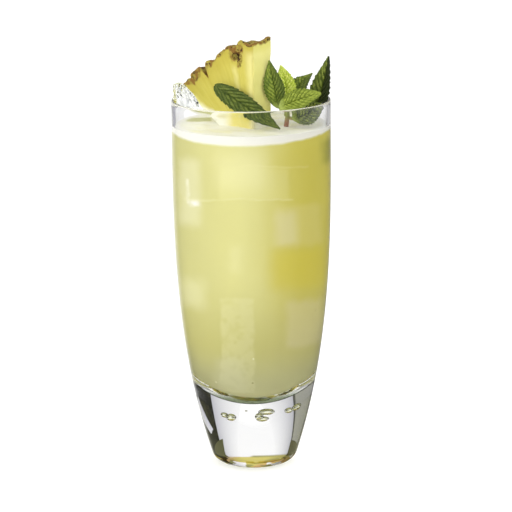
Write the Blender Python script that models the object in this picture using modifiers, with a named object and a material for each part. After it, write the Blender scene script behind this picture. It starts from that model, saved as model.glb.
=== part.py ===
"""Pisco punch in a tall glass with a heavy base, topped with foam, a pineapple wedge and mint.

Metres, +Z up. The origin is the middle of the flat foot, the glass's axis is Z, and -Y is the
side that the drink is looked at from. Every piece is one closed solid, and pieces that touch
keep a gap of 0.3 mm.
"""

import math

import bmesh
import bpy
from mathutils import Matrix, Vector

MM = 0.001
GAP = 0.3 * MM

# Glass: a wall that is upright at the rim and draws in on one smooth curve to a small foot
GLASS_HEIGHT = 168 * MM
RIM_RADIUS = 35.8 * MM
FOOT_DRAW_IN = 17.8 * MM
UPRIGHT_ABOVE = 155 * MM
DRAW_IN_POWER = 2.95
FOOT_ROUNDING = 7.0 * MM
WALL_AT_RIM = 1.4 * MM
WALL_AT_FOOT = 3.0 * MM
CAVITY_FLOOR = 31 * MM
CAVITY_BOWL_TOP = 60 * MM
CAVITY_BOWL_POWER = 2.5
TURN_STEPS = 48

# Contents: the drink, and the foam that lies on it, deeper at the front left
FOAM_TOP = 156.3 * MM
FOAM_DEPTH_LEAST = 1.0 * MM
FOAM_DEPTH_EXTRA = 2.1 * MM
FOAM_DEEP_SIDE = math.radians(-104)
FOAM_CREEP = 0.5 * MM
FOAM_RIPPLE = 0.25 * MM
FOAM_RINGS = 6

# Pineapple wedge: a slice with its round back up and its point in the drink
WEDGE_POINT = Vector((0.7, -13.0, 141.5)) * MM
WEDGE_TURN = math.radians(-40)
WEDGE_RADIUS = 51 * MM
WEDGE_CORE_RADIUS = 7 * MM
WEDGE_THICKNESS = 12 * MM
WEDGE_RIGHT_ANGLE = math.radians(-1)
WEDGE_LEFT_ANGLE = math.radians(54)
WEDGE_ARC_POINTS = 88
WEDGE_EDGE_POINTS = 6
WEDGE_LAYERS = 6
FACE_EDGE_ROUNDING = 0.6 * MM
FLESH_RIPPLE = 0.35 * MM
# Scales of the rind and the clefts between them: angle from upright, half width, height in mm
RIND_SCALES = (
    (-1.0, 5.0, 4.4),
    (4.0, 0.5, -0.6),
    (8.2, 3.5, 3.9),
    (15.8, 3.6, 2.1),
    (19.4, 0.7, -0.9),
    (23.2, 2.2, 0.5),
    (28.0, 2.8, -2.3),
    (33.8, 1.6, -1.2),
    (37.0, 1.2, -5.6),
    (43.4, 3.4, 0.8),
    (47.8, 0.8, -1.4),
    (51.6, 2.2, 0.7),
)
# Scales that are not equally high at the slice's front and back: their shares there
RIND_LEAN = {0: (0.55, 1.0), 2: (1.0, 0.5)}
# Eyes cut into the front: angle, distance from the point, width, height, depth into the slice
RIND_EYES = (
    (11.0, 48.0 * MM, 5.6 * MM, 4.2 * MM, 30 * MM),
    (9.2, 43.8 * MM, 1.4 * MM, 2.8 * MM, 2.4 * MM),
)

EYE_FALL = 0.19

# Mint: one stem whose leaves stand off it on all sides
STEM_RADIUS = 1.1 * MM
STEM_ROUTE = tuple(Vector(p) * MM for p in ((14.6, -8.6, 149), (15.5, -8.4, 156), (16.6, -7.2, 163.2)))
LEAF_THICKNESS = 0.5 * MM
LEAF_LENGTH_CELLS = 14
LEAF_WIDTH_CELLS = 6
LEAF_BLUNT_LIMIT = 1.6
LEAF_TIP_TAPER = 0.9
# Each leaf, in mm: base, tip, way its upper face looks, then width, sideways bow of the midrib
# to the face's right, arch of the midrib towards the face, fold, wave and bluntness
MINT_LEAVES = {
    "mint_leaf_left": ((12.2, -7.4, 164.9), (8.3, -7.6, 186.3), (-0.20, -0.97, 0.10), (9.2, 0.4, 1.5, 0.22, 0.5, 0.9)),
    "mint_leaf_middle": ((16.2, -3.6, 166.0), (13.6, 1.0, 182.8), (0.10, -0.95, 0.25), (8.8, 0.6, 1.2, 0.25, 0.4, 0.9)),
    "mint_leaf_back": ((17.2, 1.4, 166.4), (27.8, 12.0, 177.4), (-0.25, -0.60, 0.75), (9.0, -0.4, 1.0, 0.25, 0.4, 0.8)),
    "mint_leaf_right": ((26.2, -3.4, 157.4), (35.0, 0.6, 186.8), (-0.45, -0.85, 0.10), (9.8, 0.8, -1.4, 0.50, 0.5, 1.0)),
    "mint_leaf_front": ((12.8, -12.2, 165.8), (31.2, -13.4, 172.4), (-0.15, -0.84, 0.50), (9.8, 0.0, 1.4, 0.18, 0.5, 1.5)),
    "mint_leaf_low": ((18.6, -10.2, 160.2), (31.8, -8.6, 166.8), (0.10, -0.92, 0.35), (10.2, 0.8, 1.2, 0.20, 0.4, 1.3)),
    "mint_leaf_across": ((-16.0, -5.8, 175.0), (12.6, -21.6, 158.0), (-0.30, -0.88, 0.35), (9.2, 0.0, 1.6, 0.16, 0.6, 2.4)),
}

# Clear ice that stands between the wedge's left end and the glass
ICE_MIDDLE = Vector((-28.0, 0.8, 169.4)) * MM
ICE_SIZE = Vector((9.6, 6.4, 12.2)) * MM
ICE_TOP_SHIFT = -4.0 * MM
ICE_TURN = math.radians(-24)


def smooth_bump(offset, half_width):
    """1 in the middle of a bump and 0 far from it."""
    return math.exp(-((offset / half_width) ** 2))


def material(name, colour, roughness, transmission=0.0):
    """A Principled material in the piece's own colour."""
    made = bpy.data.materials.new(name)
    made.use_nodes = True
    shader = made.node_tree.nodes["Principled BSDF"]
    shader.inputs["Base Color"].default_value = (*colour, 1)
    shader.inputs["Roughness"].default_value = roughness
    shader.inputs["Metallic"].default_value = 0
    shader.inputs["Transmission Weight"].default_value = transmission
    made.diffuse_color = (*colour, 1)
    return made


def add_object(name, mesh, collection, finish=None):
    """One named object for a mesh, in its collection."""
    made = bpy.data.objects.new(name, mesh)
    collection.objects.link(made)
    if finish:
        mesh.materials.append(finish)
    return made


def mesh_from(work):
    """A smooth-shaded mesh from a bmesh, which is freed."""
    mesh = bpy.data.meshes.new("shape")
    bmesh.ops.recalc_face_normals(work, faces=work.faces)
    work.to_mesh(mesh)
    work.free()
    mesh.shade_smooth()
    return mesh


def applied(made):
    """Gives an object the mesh that its modifiers make."""
    seen = made.evaluated_get(bpy.context.evaluated_depsgraph_get())
    mesh = bpy.data.meshes.new_from_object(seen)
    made.modifiers.clear()
    made.data = mesh
    return made


def mark_cutter(made):
    """A cutter isn't part of the object."""
    made.hide_render = True
    made.display_type = "WIRE"
    return made


def cut(made, cutter, solver="EXACT"):
    """Takes a cutter's shape out of an object."""
    boolean = made.modifiers.new("cut by " + cutter.name, "BOOLEAN")
    boolean.operation = "DIFFERENCE"
    boolean.solver = solver
    boolean.object = cutter


def turned(name, profile, collection, finish):
    """A solid turned about Z from (radius, height) points that end on the axis."""
    mesh = bpy.data.meshes.new("profile")
    points = [(radius, 0, height) for radius, height in profile]
    mesh.from_pydata(points, [(i, i + 1) for i in range(len(points) - 1)], [])
    made = add_object(name, mesh, collection, finish)
    screw = made.modifiers.new("turn", "SCREW")
    screw.axis = "Z"
    screw.angle = math.tau
    screw.steps = screw.render_steps = TURN_STEPS
    screw.use_merge_vertices = True
    screw.merge_threshold = 0.00001
    screw.use_smooth_shade = True
    return made


def outer_radius(height):
    """The glass's outside: upright at the top, drawn in towards the foot."""
    below = max(0.0, 1 - height / UPRIGHT_ABOVE)
    return RIM_RADIUS - FOOT_DRAW_IN * below**DRAW_IN_POWER


def cavity_radius(height):
    """The glass's inside above its round bowl."""
    wall = WALL_AT_FOOT + (WALL_AT_RIM - WALL_AT_FOOT) * height / GLASS_HEIGHT
    return outer_radius(height) - wall


def cavity_profile(top, inset=0.0):
    """The inside from the axis at its floor up to a height, moved in by inset."""
    floor = CAVITY_FLOOR + inset
    points = []
    bowl_points = 11
    for i in range(bowl_points):
        turn = math.pi / 2 * (1 - i / bowl_points)
        height = CAVITY_BOWL_TOP - (CAVITY_BOWL_TOP - floor) * math.sin(turn) ** (2 / CAVITY_BOWL_POWER)
        radius = (cavity_radius(height) - inset) * math.cos(turn)
        points.append((radius if i else 0.0, height))
    wall_points = 8
    for i in range(wall_points + 1):
        height = CAVITY_BOWL_TOP + (top - CAVITY_BOWL_TOP) * i / wall_points
        points.append((cavity_radius(height) - inset, height))
    return points


def glass_profile():
    """Floor of the cavity, up the inside, over the rim, down the outside, round the foot."""
    lip = WALL_AT_RIM / 2
    lip_height = GLASS_HEIGHT - lip
    points = cavity_profile(lip_height)
    lip_points = 6
    for i in range(1, lip_points):
        turn = math.pi * i / lip_points
        points.append((RIM_RADIUS - lip - lip * math.cos(turn), lip_height + lip * math.sin(turn)))
    slope = math.atan((outer_radius(FOOT_ROUNDING) - outer_radius(0)) / FOOT_ROUNDING)
    corner_height = FOOT_ROUNDING * (1 - math.sin(slope))
    wall_points = 15
    for i in range(wall_points + 1):
        height = lip_height + (corner_height - lip_height) * i / wall_points
        points.append((outer_radius(height), height))
    corner = outer_radius(corner_height) - FOOT_ROUNDING * math.cos(slope)
    corner_points = 4
    for i in range(1, corner_points + 1):
        turn = slope + (math.pi / 2 - slope) * i / corner_points
        across = corner + FOOT_ROUNDING * math.cos(turn)
        points.append((across, FOOT_ROUNDING * (1 - math.sin(turn))))
    points.append((0.0, 0.0))
    return points


def foam_floor(x, y):
    """Where the foam ends and the drink begins: lower at the front left."""
    towards = math.cos(math.atan2(y, x) - FOAM_DEEP_SIDE)
    reach = min(1.0, math.hypot(x, y) / cavity_radius(FOAM_TOP))
    return FOAM_TOP - FOAM_DEPTH_LEAST - FOAM_DEPTH_EXTRA * reach * max(0.0, towards) ** 1.5


def foam_surface(x, y):
    """The foam's top: a few soft ripples, and a creep up the wall."""
    reach = min(1.0, math.hypot(x, y) / cavity_radius(FOAM_TOP))
    ripple = math.sin(x * 260 + 0.7) * math.cos(y * 310 - 0.4) + 0.6 * math.sin((x + y) * 420)
    return FOAM_TOP + FOAM_RIPPLE * ripple * (1 - reach**6) + FOAM_CREEP * reach**10


def disc_profile(top, bottom, rings):
    """A disc's section, from the axis at its top to the axis at its bottom."""
    radius = cavity_radius(FOAM_TOP) - GAP
    out = [(radius * i / rings, top) for i in range(rings + 1)]
    back = [(radius * i / rings, bottom) for i in range(rings, -1, -1)]
    return out + back


def drink(collection, finish):
    """The drink, up to the underside of its foam."""
    top = FOAM_TOP - FOAM_DEPTH_LEAST - GAP
    wall = list(reversed(cavity_profile(top, GAP)))
    rings = FOAM_RINGS
    lid = [(wall[0][0] * i / rings, top) for i in range(rings)]
    made = applied(turned("drink", lid + wall, collection, finish))
    for vertex in made.data.vertices:
        x, y, height = vertex.co
        if height > top - 1e-6:
            vertex.co.z = foam_floor(x, y) - GAP
    return made


def foam(collection, finish):
    """The foam that lies on the drink."""
    top, bottom = FOAM_TOP + 10 * MM, FOAM_TOP - 10 * MM
    made = applied(turned("foam", disc_profile(top, bottom, FOAM_RINGS), collection, finish))
    for vertex in made.data.vertices:
        x, y, height = vertex.co
        vertex.co.z = foam_surface(x, y) if height > FOAM_TOP else foam_floor(x, y)
    return made


def rind_radius(angle, into):
    """The wedge's outer radius at an angle, and a depth into the slice from 0 to 1."""
    radius = WEDGE_RADIUS
    skew = 2.4 * (into - 0.5)
    for index, (middle, half_width, height) in enumerate(RIND_SCALES):
        swell = 0.85 + 0.15 * math.cos(math.tau * (into - 0.15 - 0.37 * index))
        swell *= RIND_LEAN.get(index, (1, 1))[0] * (1 - into) + RIND_LEAN.get(index, (1, 1))[1] * into
        bump = smooth_bump(math.degrees(angle) - middle - skew * (-1) ** index, half_width)
        radius += height * MM * swell * bump
    return radius


def wedge_outline(into, grow):
    """The slice's outline at one depth, as (across, up) from its point."""
    points = []
    for i in range(WEDGE_ARC_POINTS + 1):
        angle = WEDGE_LEFT_ANGLE + (WEDGE_RIGHT_ANGLE - WEDGE_LEFT_ANGLE) * i / WEDGE_ARC_POINTS
        radius = rind_radius(angle, into) + grow
        points.append((-radius * math.sin(angle), radius * math.cos(angle)))
    start, end = WEDGE_RADIUS, WEDGE_CORE_RADIUS
    for angle, side, outward in ((WEDGE_RIGHT_ANGLE, 1, False), (WEDGE_LEFT_ANGLE, -1, True)):
        along = Vector((-math.sin(angle), math.cos(angle)))
        across = Vector((math.cos(angle), math.sin(angle))) * side
        for i in range(1, WEDGE_EDGE_POINTS + 1):
            share = i / (WEDGE_EDGE_POINTS + 1)
            share = 1 - share if outward else share
            reach = start + (end - start) * share
            ripple = FLESH_RIPPLE * math.sin(reach / MM * 0.45 + 3 * into + side)
            point = along * reach + across * (ripple * math.sin(math.pi * share) + grow)
            points.append(tuple(point))
    return points


def wedge_frame():
    """Turns the slice's own axes (across, up, into the slice) to the glass's."""
    across = Vector((math.cos(WEDGE_TURN), math.sin(WEDGE_TURN), 0))
    inward = Vector((-math.sin(WEDGE_TURN), math.cos(WEDGE_TURN), 0))
    return Matrix((across, (0, 0, 1), inward)).transposed(), WEDGE_POINT


def wedge_mesh(grow=0.0):
    """The slice, lofted through its outlines from its front face to its back face."""
    turn, point = wedge_frame()
    work = bmesh.new()
    count = WEDGE_ARC_POINTS + 1 + 2 * WEDGE_EDGE_POINTS
    bmesh.ops.create_circle(work, cap_ends=True, segments=count, radius=WEDGE_RADIUS)
    ring = list(work.verts)
    face = list(work.faces)
    for layer in range(WEDGE_LAYERS + 1):
        into = layer / WEDGE_LAYERS
        if layer:
            made = bmesh.ops.extrude_face_region(work, geom=face)["geom"]
            fresh = [item for item in made if isinstance(item, bmesh.types.BMVert)]
            if layer > 1:
                bmesh.ops.delete(work, geom=face, context="FACES_ONLY")
            face = [item for item in made if isinstance(item, bmesh.types.BMFace)]
            order = {vertex: index for index, vertex in enumerate(face[0].verts)}
            ring = sorted(fresh, key=order.get)
        ring_place(ring, into, grow, turn, point)
    bmesh.ops.triangulate(work, faces=[item for item in work.faces if len(item.verts) > 4])
    return mesh_from(work)


def ring_place(ring, into, grow, turn, point):
    """Moves one ring of the loft onto the slice's outline."""
    rounding = FACE_EDGE_ROUNDING * (1 if into in (0, 1) else 0)
    depth = into * (WEDGE_THICKNESS + 2 * grow) - grow
    for vertex, (across, up) in zip(ring, wedge_outline(into, grow - rounding)):
        vertex.co = point + turn @ Vector((across, up, depth))


def pineapple_wedge(collection, cutters, finish):
    """The slice with its scaly rind, and the eyes cut into its face, straight back from the front."""
    made = add_object("pineapple_wedge", wedge_mesh(), collection, finish)
    turn, point = wedge_frame()
    for index, (angle, reach, width, height, depth) in enumerate(RIND_EYES):
        work = bmesh.new()
        bmesh.ops.create_uvsphere(work, u_segments=10, v_segments=6, radius=1)
        angle = math.radians(angle)
        middle = Vector((-reach * math.sin(angle), reach * math.cos(angle), 0))
        lean = Matrix.Rotation(math.radians(35), 3, "Z")
        for vertex in work.verts:
            x, y, z = vertex.co
            shaped = lean @ Vector((x * width / 2, y * height / 2, z * depth))
            shaped.x += shaped.z * math.tan(WEDGE_TURN)
            shaped.y -= shaped.z * EYE_FALL
            vertex.co = point + turn @ (middle + shaped)
        cutter = mark_cutter(add_object(f"eye_cutter_{index}", mesh_from(work), cutters))
        cut(made, cutter, "MANIFOLD")
    return applied(made)


def curve_at(points, share):
    """A point on the smooth curve with three guiding points."""
    start, middle, end = points
    return start * (1 - share) ** 2 + middle * 2 * share * (1 - share) + end * share**2


def stem_mesh(grow=0.0):
    """The stem, a tube with round sides and flat ends."""
    data = bpy.data.curves.new("stem", "CURVE")
    data.dimensions = "3D"
    data.bevel_depth = STEM_RADIUS + grow
    data.bevel_resolution = 2
    data.use_fill_caps = True
    spline = data.splines.new("POLY")
    steps = 8
    spline.points.add(steps)
    for i in range(steps + 1):
        spline.points[i].co = (*curve_at(STEM_ROUTE, i / steps), 1)
        spline.points[i].radius = 1.15 - 0.3 * i / steps
    spline.points[0].co.z -= grow
    made = bpy.data.objects.new("stem", data)
    bpy.context.scene.collection.objects.link(made)
    seen = made.evaluated_get(bpy.context.evaluated_depsgraph_get())
    mesh = bpy.data.meshes.new_from_object(seen)
    bpy.data.objects.remove(made)
    work = bmesh.new()
    work.from_mesh(mesh)
    bmesh.ops.remove_doubles(work, verts=work.verts, dist=0.00001)
    return mesh_from(work)


def leaf_half_width(share, width, blunt):
    """Half the leaf's width on the way from its base to its tip; a very blunt leaf keeps a pointed tip."""
    pointed = 1 + LEAF_TIP_TAPER * max(0.0, blunt - LEAF_BLUNT_LIMIT) * share**3
    body = math.sin(math.pi * share**0.8) ** (0.9 / math.sqrt(blunt) * pointed)
    return max(0.05, body) * width / 2


def leaf_mesh(base, tip, looks, form):
    """A thin wavy leaf: a grid laid along its midrib, folded, arched and thickened."""
    width, bow, arch, fold, wave, blunt = form
    base, tip = Vector(base) * MM, Vector(tip) * MM
    along = tip - base
    face = Vector(looks).normalized()
    face = (face - along.normalized() * face.dot(along.normalized())).normalized()
    side = along.normalized().cross(face).normalized()
    work = bmesh.new()
    bmesh.ops.create_grid(work, x_segments=LEAF_LENGTH_CELLS, y_segments=LEAF_WIDTH_CELLS, size=1)
    for vertex in work.verts:
        share = (vertex.co.x + 1) / 2
        across = vertex.co.y
        half = leaf_half_width(share, width * MM, blunt)
        middle = bow * MM * math.sin(math.pi * share)
        rise = arch * MM * math.sin(math.pi * share)
        rise += fold * half * abs(across)
        rise += wave * MM * across**2 * math.sin(share * 3.2 * math.pi + (0.6 if across > 0 else 2.1))
        vertex.co = base + along * share + side * (across * half + middle) + face * rise
    bmesh.ops.triangulate(work, faces=work.faces)
    return mesh_from(work)


def mint_leaf(name, shape, collection, finish):
    """One leaf in its own object, with Solidify for its thickness."""
    made = add_object(name, leaf_mesh(*shape), collection, finish)
    skin = made.modifiers.new("thickness", "SOLIDIFY")
    skin.thickness = LEAF_THICKNESS
    skin.offset = 0
    return made


def ice_chunk(collection, finish):
    """A clear lump of ice with worn corners."""
    work = bmesh.new()
    bmesh.ops.create_cube(work, size=1)
    bmesh.ops.subdivide_edges(work, edges=work.edges, cuts=2, use_grid_fill=True)
    turn = Matrix.Rotation(ICE_TURN, 3, "Z")
    for vertex in work.verts:
        spot = vertex.co.copy()
        worn = spot * (1 - 0.45 * max(0.0, spot.length - 0.55))
        narrow = 1 - 0.6 * (spot.z + 0.5) ** 2 + 0.1 * math.sin(9 * spot.y + 5 * spot.x)
        shaped = Vector((worn.x * ICE_SIZE.x * narrow, worn.y * ICE_SIZE.y * narrow, worn.z * ICE_SIZE.z))
        shift = Vector((ICE_TOP_SHIFT * (spot.z + 0.5), 0, 0))
        vertex.co = ICE_MIDDLE + turn @ shaped + shift
    return add_object("ice_chunk", mesh_from(work), collection, finish)


def main():
    """Builds the glass, what it holds and its garnish."""
    for old in list(bpy.data.objects):
        bpy.data.objects.remove(old)
    parts = bpy.data.collections.new("pisco_punch")
    cutters = bpy.data.collections.new("cutters")
    for collection in (parts, cutters):
        bpy.context.scene.collection.children.link(collection)

    clear = material("clear glass", (0.93, 0.95, 0.93), 0.02, 1.0)
    juice = material("cloudy pineapple drink", (0.76, 0.72, 0.25), 0.25)
    froth = material("cream foam", (0.93, 0.91, 0.78), 0.6)
    fruit = material("pineapple flesh", (0.68, 0.58, 0.13), 0.4)
    green = material("mint leaf", (0.10, 0.17, 0.03), 0.45)
    twig = material("mint stem", (0.35, 0.20, 0.13), 0.5)
    ice = material("clear ice", (0.92, 0.94, 0.93), 0.05, 1.0)

    turned("glass", glass_profile(), parts, clear)
    liquid = drink(parts, juice)
    froth_layer = foam(parts, froth)
    pineapple_wedge(parts, cutters, fruit)
    add_object("mint_stem", stem_mesh(), parts, twig)
    for name, shape in MINT_LEAVES.items():
        mint_leaf(name, shape, parts, green)
    ice_chunk(parts, ice)

    room_for_wedge = mark_cutter(add_object("wedge_cutter", wedge_mesh(GAP), cutters))
    room_for_stem = mark_cutter(add_object("stem_cutter", stem_mesh(GAP), cutters))
    for filling in (liquid, froth_layer):
        cut(filling, room_for_wedge)
        cut(filling, room_for_stem)


main()
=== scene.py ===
"""Looks of a pisco punch: a tall heavy-based glass of cloudy drink with foam, pineapple and mint.

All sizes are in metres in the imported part's frame: +Z up, the glass's axis on Z, and -Y towards
the side that the drink is looked at from.
"""

from __future__ import annotations

import logging
import math
from dataclasses import dataclass, field
from enum import Enum
from typing import Any, Callable, Optional, Sequence

import bpy
from mathutils import Matrix, Vector, noise

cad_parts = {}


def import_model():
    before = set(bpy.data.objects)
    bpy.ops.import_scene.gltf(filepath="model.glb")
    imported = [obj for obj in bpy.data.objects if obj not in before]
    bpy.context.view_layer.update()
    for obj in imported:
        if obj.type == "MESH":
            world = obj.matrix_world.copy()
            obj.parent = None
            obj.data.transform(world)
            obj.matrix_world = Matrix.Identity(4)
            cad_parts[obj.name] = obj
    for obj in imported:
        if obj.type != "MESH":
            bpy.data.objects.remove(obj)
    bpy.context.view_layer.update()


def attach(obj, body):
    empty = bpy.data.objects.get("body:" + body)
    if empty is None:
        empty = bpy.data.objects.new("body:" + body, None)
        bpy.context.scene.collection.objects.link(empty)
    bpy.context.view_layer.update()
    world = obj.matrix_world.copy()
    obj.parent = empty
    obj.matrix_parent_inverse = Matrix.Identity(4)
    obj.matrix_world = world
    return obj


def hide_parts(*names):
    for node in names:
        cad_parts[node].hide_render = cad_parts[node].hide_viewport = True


MM = 0.001
GLASS_IOR = 1.5
DOUBLES_WITHIN = 0.002 * MM
RUGGED_EDGE = 50
LOG = logging.getLogger("pisco_punch")

Colour = tuple[float, float, float]
Place = Callable[[Vector], Vector]
Profile = Sequence[tuple[float, float]]
Range = tuple[float, float]
Socket = bpy.types.NodeSocket

WHITE: Colour = (1, 1, 1)


class Slot(Enum):
    """The record's material slots."""

    GLASS = "clear_glass"
    DRINK = "cloudy_drink"
    FOAM = "cream_foam"
    PINEAPPLE = "pineapple"
    ICE = "clear_ice"
    STEM = "mint_stem"
    LEAF = "mint_leaf"


# Modelling by operators


def leave_edit_mode() -> None:
    """Goes back to object mode if a mesh is being edited."""
    active = bpy.context.view_layer.objects.active
    if active and active.mode != "OBJECT":
        bpy.ops.object.mode_set(mode="OBJECT")


def select_only(obj: Optional[bpy.types.Object]) -> None:
    """Selects one object, or nothing.

    Args:
        obj: The object that operators should act on, or None.
    """
    leave_edit_mode()
    bpy.ops.object.select_all(action="DESELECT")
    if obj:
        obj.select_set(True)
    bpy.context.view_layer.objects.active = obj


def edit_all(obj: bpy.types.Object) -> None:
    """Opens a mesh in edit mode with all of it selected.

    Args:
        obj: The mesh object.
    """
    select_only(obj)
    bpy.ops.object.mode_set(mode="EDIT")
    bpy.ops.mesh.select_all(action="SELECT")


def named_active(name: str) -> bpy.types.Object:
    """Names the primitive that was just added and puts its place into its mesh.

    Args:
        name: Name for the object and its mesh.

    Returns:
        The object, at the origin, unturned and unscaled.
    """
    made = bpy.context.active_object
    made.name = made.data.name = name
    bpy.ops.object.transform_apply(location=True, rotation=True, scale=True)
    return made


def unit_grid(name: str, columns: int, rows: int) -> bpy.types.Object:
    """A flat grid over the unit square, with a UV map that says the same.

    Args:
        name: Name of the object.
        columns: Cells along X.
        rows: Cells along Y.

    Returns:
        The grid's object.
    """
    select_only(None)
    bpy.ops.mesh.primitive_grid_add(
        x_subdivisions=columns, y_subdivisions=rows, size=1, calc_uvs=True, location=(0.5, 0.5, 0)
    )
    return named_active(name)


def unit_block(name: str, columns: int, rows: int, layers: int) -> bpy.types.Object:
    """A closed block over the unit cube, extruded from a flat grid one layer at a time.

    Args:
        name: Name of the object.
        columns: Cells along X.
        rows: Cells along Y.
        layers: Cells along Z.

    Returns:
        The block's object.
    """
    block = unit_grid(name, columns, rows)
    edit_all(block)
    for _ in range(layers):
        bpy.ops.mesh.extrude_region_move(TRANSFORM_OT_translate={"value": (0, 0, 1 / layers)})
    leave_edit_mode()
    return block


def shape(obj: bpy.types.Object, place: Place) -> None:
    """Moves every vertex of a mesh to where a rule puts it.

    Args:
        obj: The mesh object.
        place: Gives a vertex's new place from its old one.
    """
    for vertex in obj.data.vertices:
        vertex.co = place(vertex.co)
    obj.data.update()


def merge_and_orient(obj: bpy.types.Object) -> None:
    """Merges doubles and points every face outwards.

    Args:
        obj: The mesh object.
    """
    edit_all(obj)
    bpy.ops.mesh.remove_doubles(threshold=DOUBLES_WITHIN)
    bpy.ops.mesh.normals_make_consistent(inside=False)
    leave_edit_mode()


def turned(name: str, profile: Profile, steps: int) -> bpy.types.Object:
    """Extrudes a vertex along (radius, height) points and spins the line round Z.

    Args:
        name: Name of the object.
        profile: Points that start and end on the axis.
        steps: Steps in one full turn.

    Returns:
        The closed turned piece.
    """
    select_only(None)
    bpy.ops.mesh.primitive_circle_add(vertices=3, radius=MM)
    made = named_active(name)
    for vertex in made.data.vertices:
        vertex.co = (profile[0][0], 0, profile[0][1])
    edit_all(made)
    bpy.ops.mesh.merge(type="CENTER")
    for here, there in zip(profile, profile[1:]):
        step = (there[0] - here[0], 0, there[1] - here[1])
        bpy.ops.mesh.extrude_vertices_move(TRANSFORM_OT_translate={"value": step})
    leave_edit_mode()
    for vertex, (radius, height) in zip(made.data.vertices, profile):
        vertex.co = (radius, 0, height)
    edit_all(made)
    bpy.ops.mesh.spin(steps=steps, angle=math.tau, center=(0, 0, 0), axis=(0, 0, 1))
    leave_edit_mode()
    merge_and_orient(made)
    return made


def apply_modifier(obj: bpy.types.Object, kind: str, **settings: Any) -> None:
    """Adds a modifier and applies it.

    Args:
        obj: The object.
        kind: Blender's name for the modifier's type.
        **settings: The modifier's own settings.
    """
    select_only(obj)
    modifier = obj.modifiers.new(kind.lower(), kind)
    for key, value in settings.items():
        setattr(modifier, key, value)
    bpy.ops.object.modifier_apply(modifier=modifier.name)


def cut_away(obj: bpy.types.Object, cutter: bpy.types.Object) -> None:
    """Takes a cutter's shape out of a piece and deletes the cutter."""
    apply_modifier(obj, "BOOLEAN", operation="DIFFERENCE", solver="MANIFOLD", object=cutter)
    bpy.data.objects.remove(cutter)


def smooth(obj: bpy.types.Object, degrees: float = 60) -> None:
    """Shades a piece smooth, apart from edges sharper than an angle."""
    select_only(obj)
    bpy.ops.object.shade_smooth_by_angle(angle=math.radians(degrees))


def joined(name: str, pieces: Sequence[bpy.types.Object]) -> bpy.types.Object:
    """Joins pieces of one kind into one object.

    Args:
        name: Name of the joined object.
        pieces: The objects to join.

    Returns:
        The joined object.
    """
    select_only(pieces[0])
    for piece in pieces:
        piece.select_set(True)
    bpy.ops.object.join()
    pieces[0].name = pieces[0].data.name = name
    return pieces[0]


def clamped(value: float) -> float:
    """The value, no less than 0 and no more than 1."""
    return min(1.0, max(0.0, value))


def store(obj: bpy.types.Object, name: str, values: Sequence[float]) -> None:
    """Stores a number on each vertex for the material to read."""
    obj.data.attributes.new(name, "FLOAT", "POINT").data.foreach_set("value", values)


def paint(obj: bpy.types.Object, name: str, rule: Callable[[Vector], float]) -> None:
    """Stores on each vertex what a rule gives for its place."""
    store(obj, name, [rule(vertex.co) for vertex in obj.data.vertices])


def hand_over(
    obj: bpy.types.Object, slot: Slot, finish: Optional[bpy.types.Material], *nodes: str
) -> None:
    """Dresses a finished piece and fixes it to the part.

    Args:
        obj: The piece.
        slot: The record's slot that its finish belongs to.
        finish: Its material, or None where its faces have theirs already.
        *nodes: CAD nodes that it stands for.
    """
    if finish:
        obj.data.materials.clear()
        obj.data.materials.append(finish)
    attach(obj, "root")
    if nodes:
        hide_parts(*nodes)
    LOG.info("%s: %d faces in slot %s", obj.name, len(obj.data.polygons), slot.value)


# Materials and light by nodes


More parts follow.
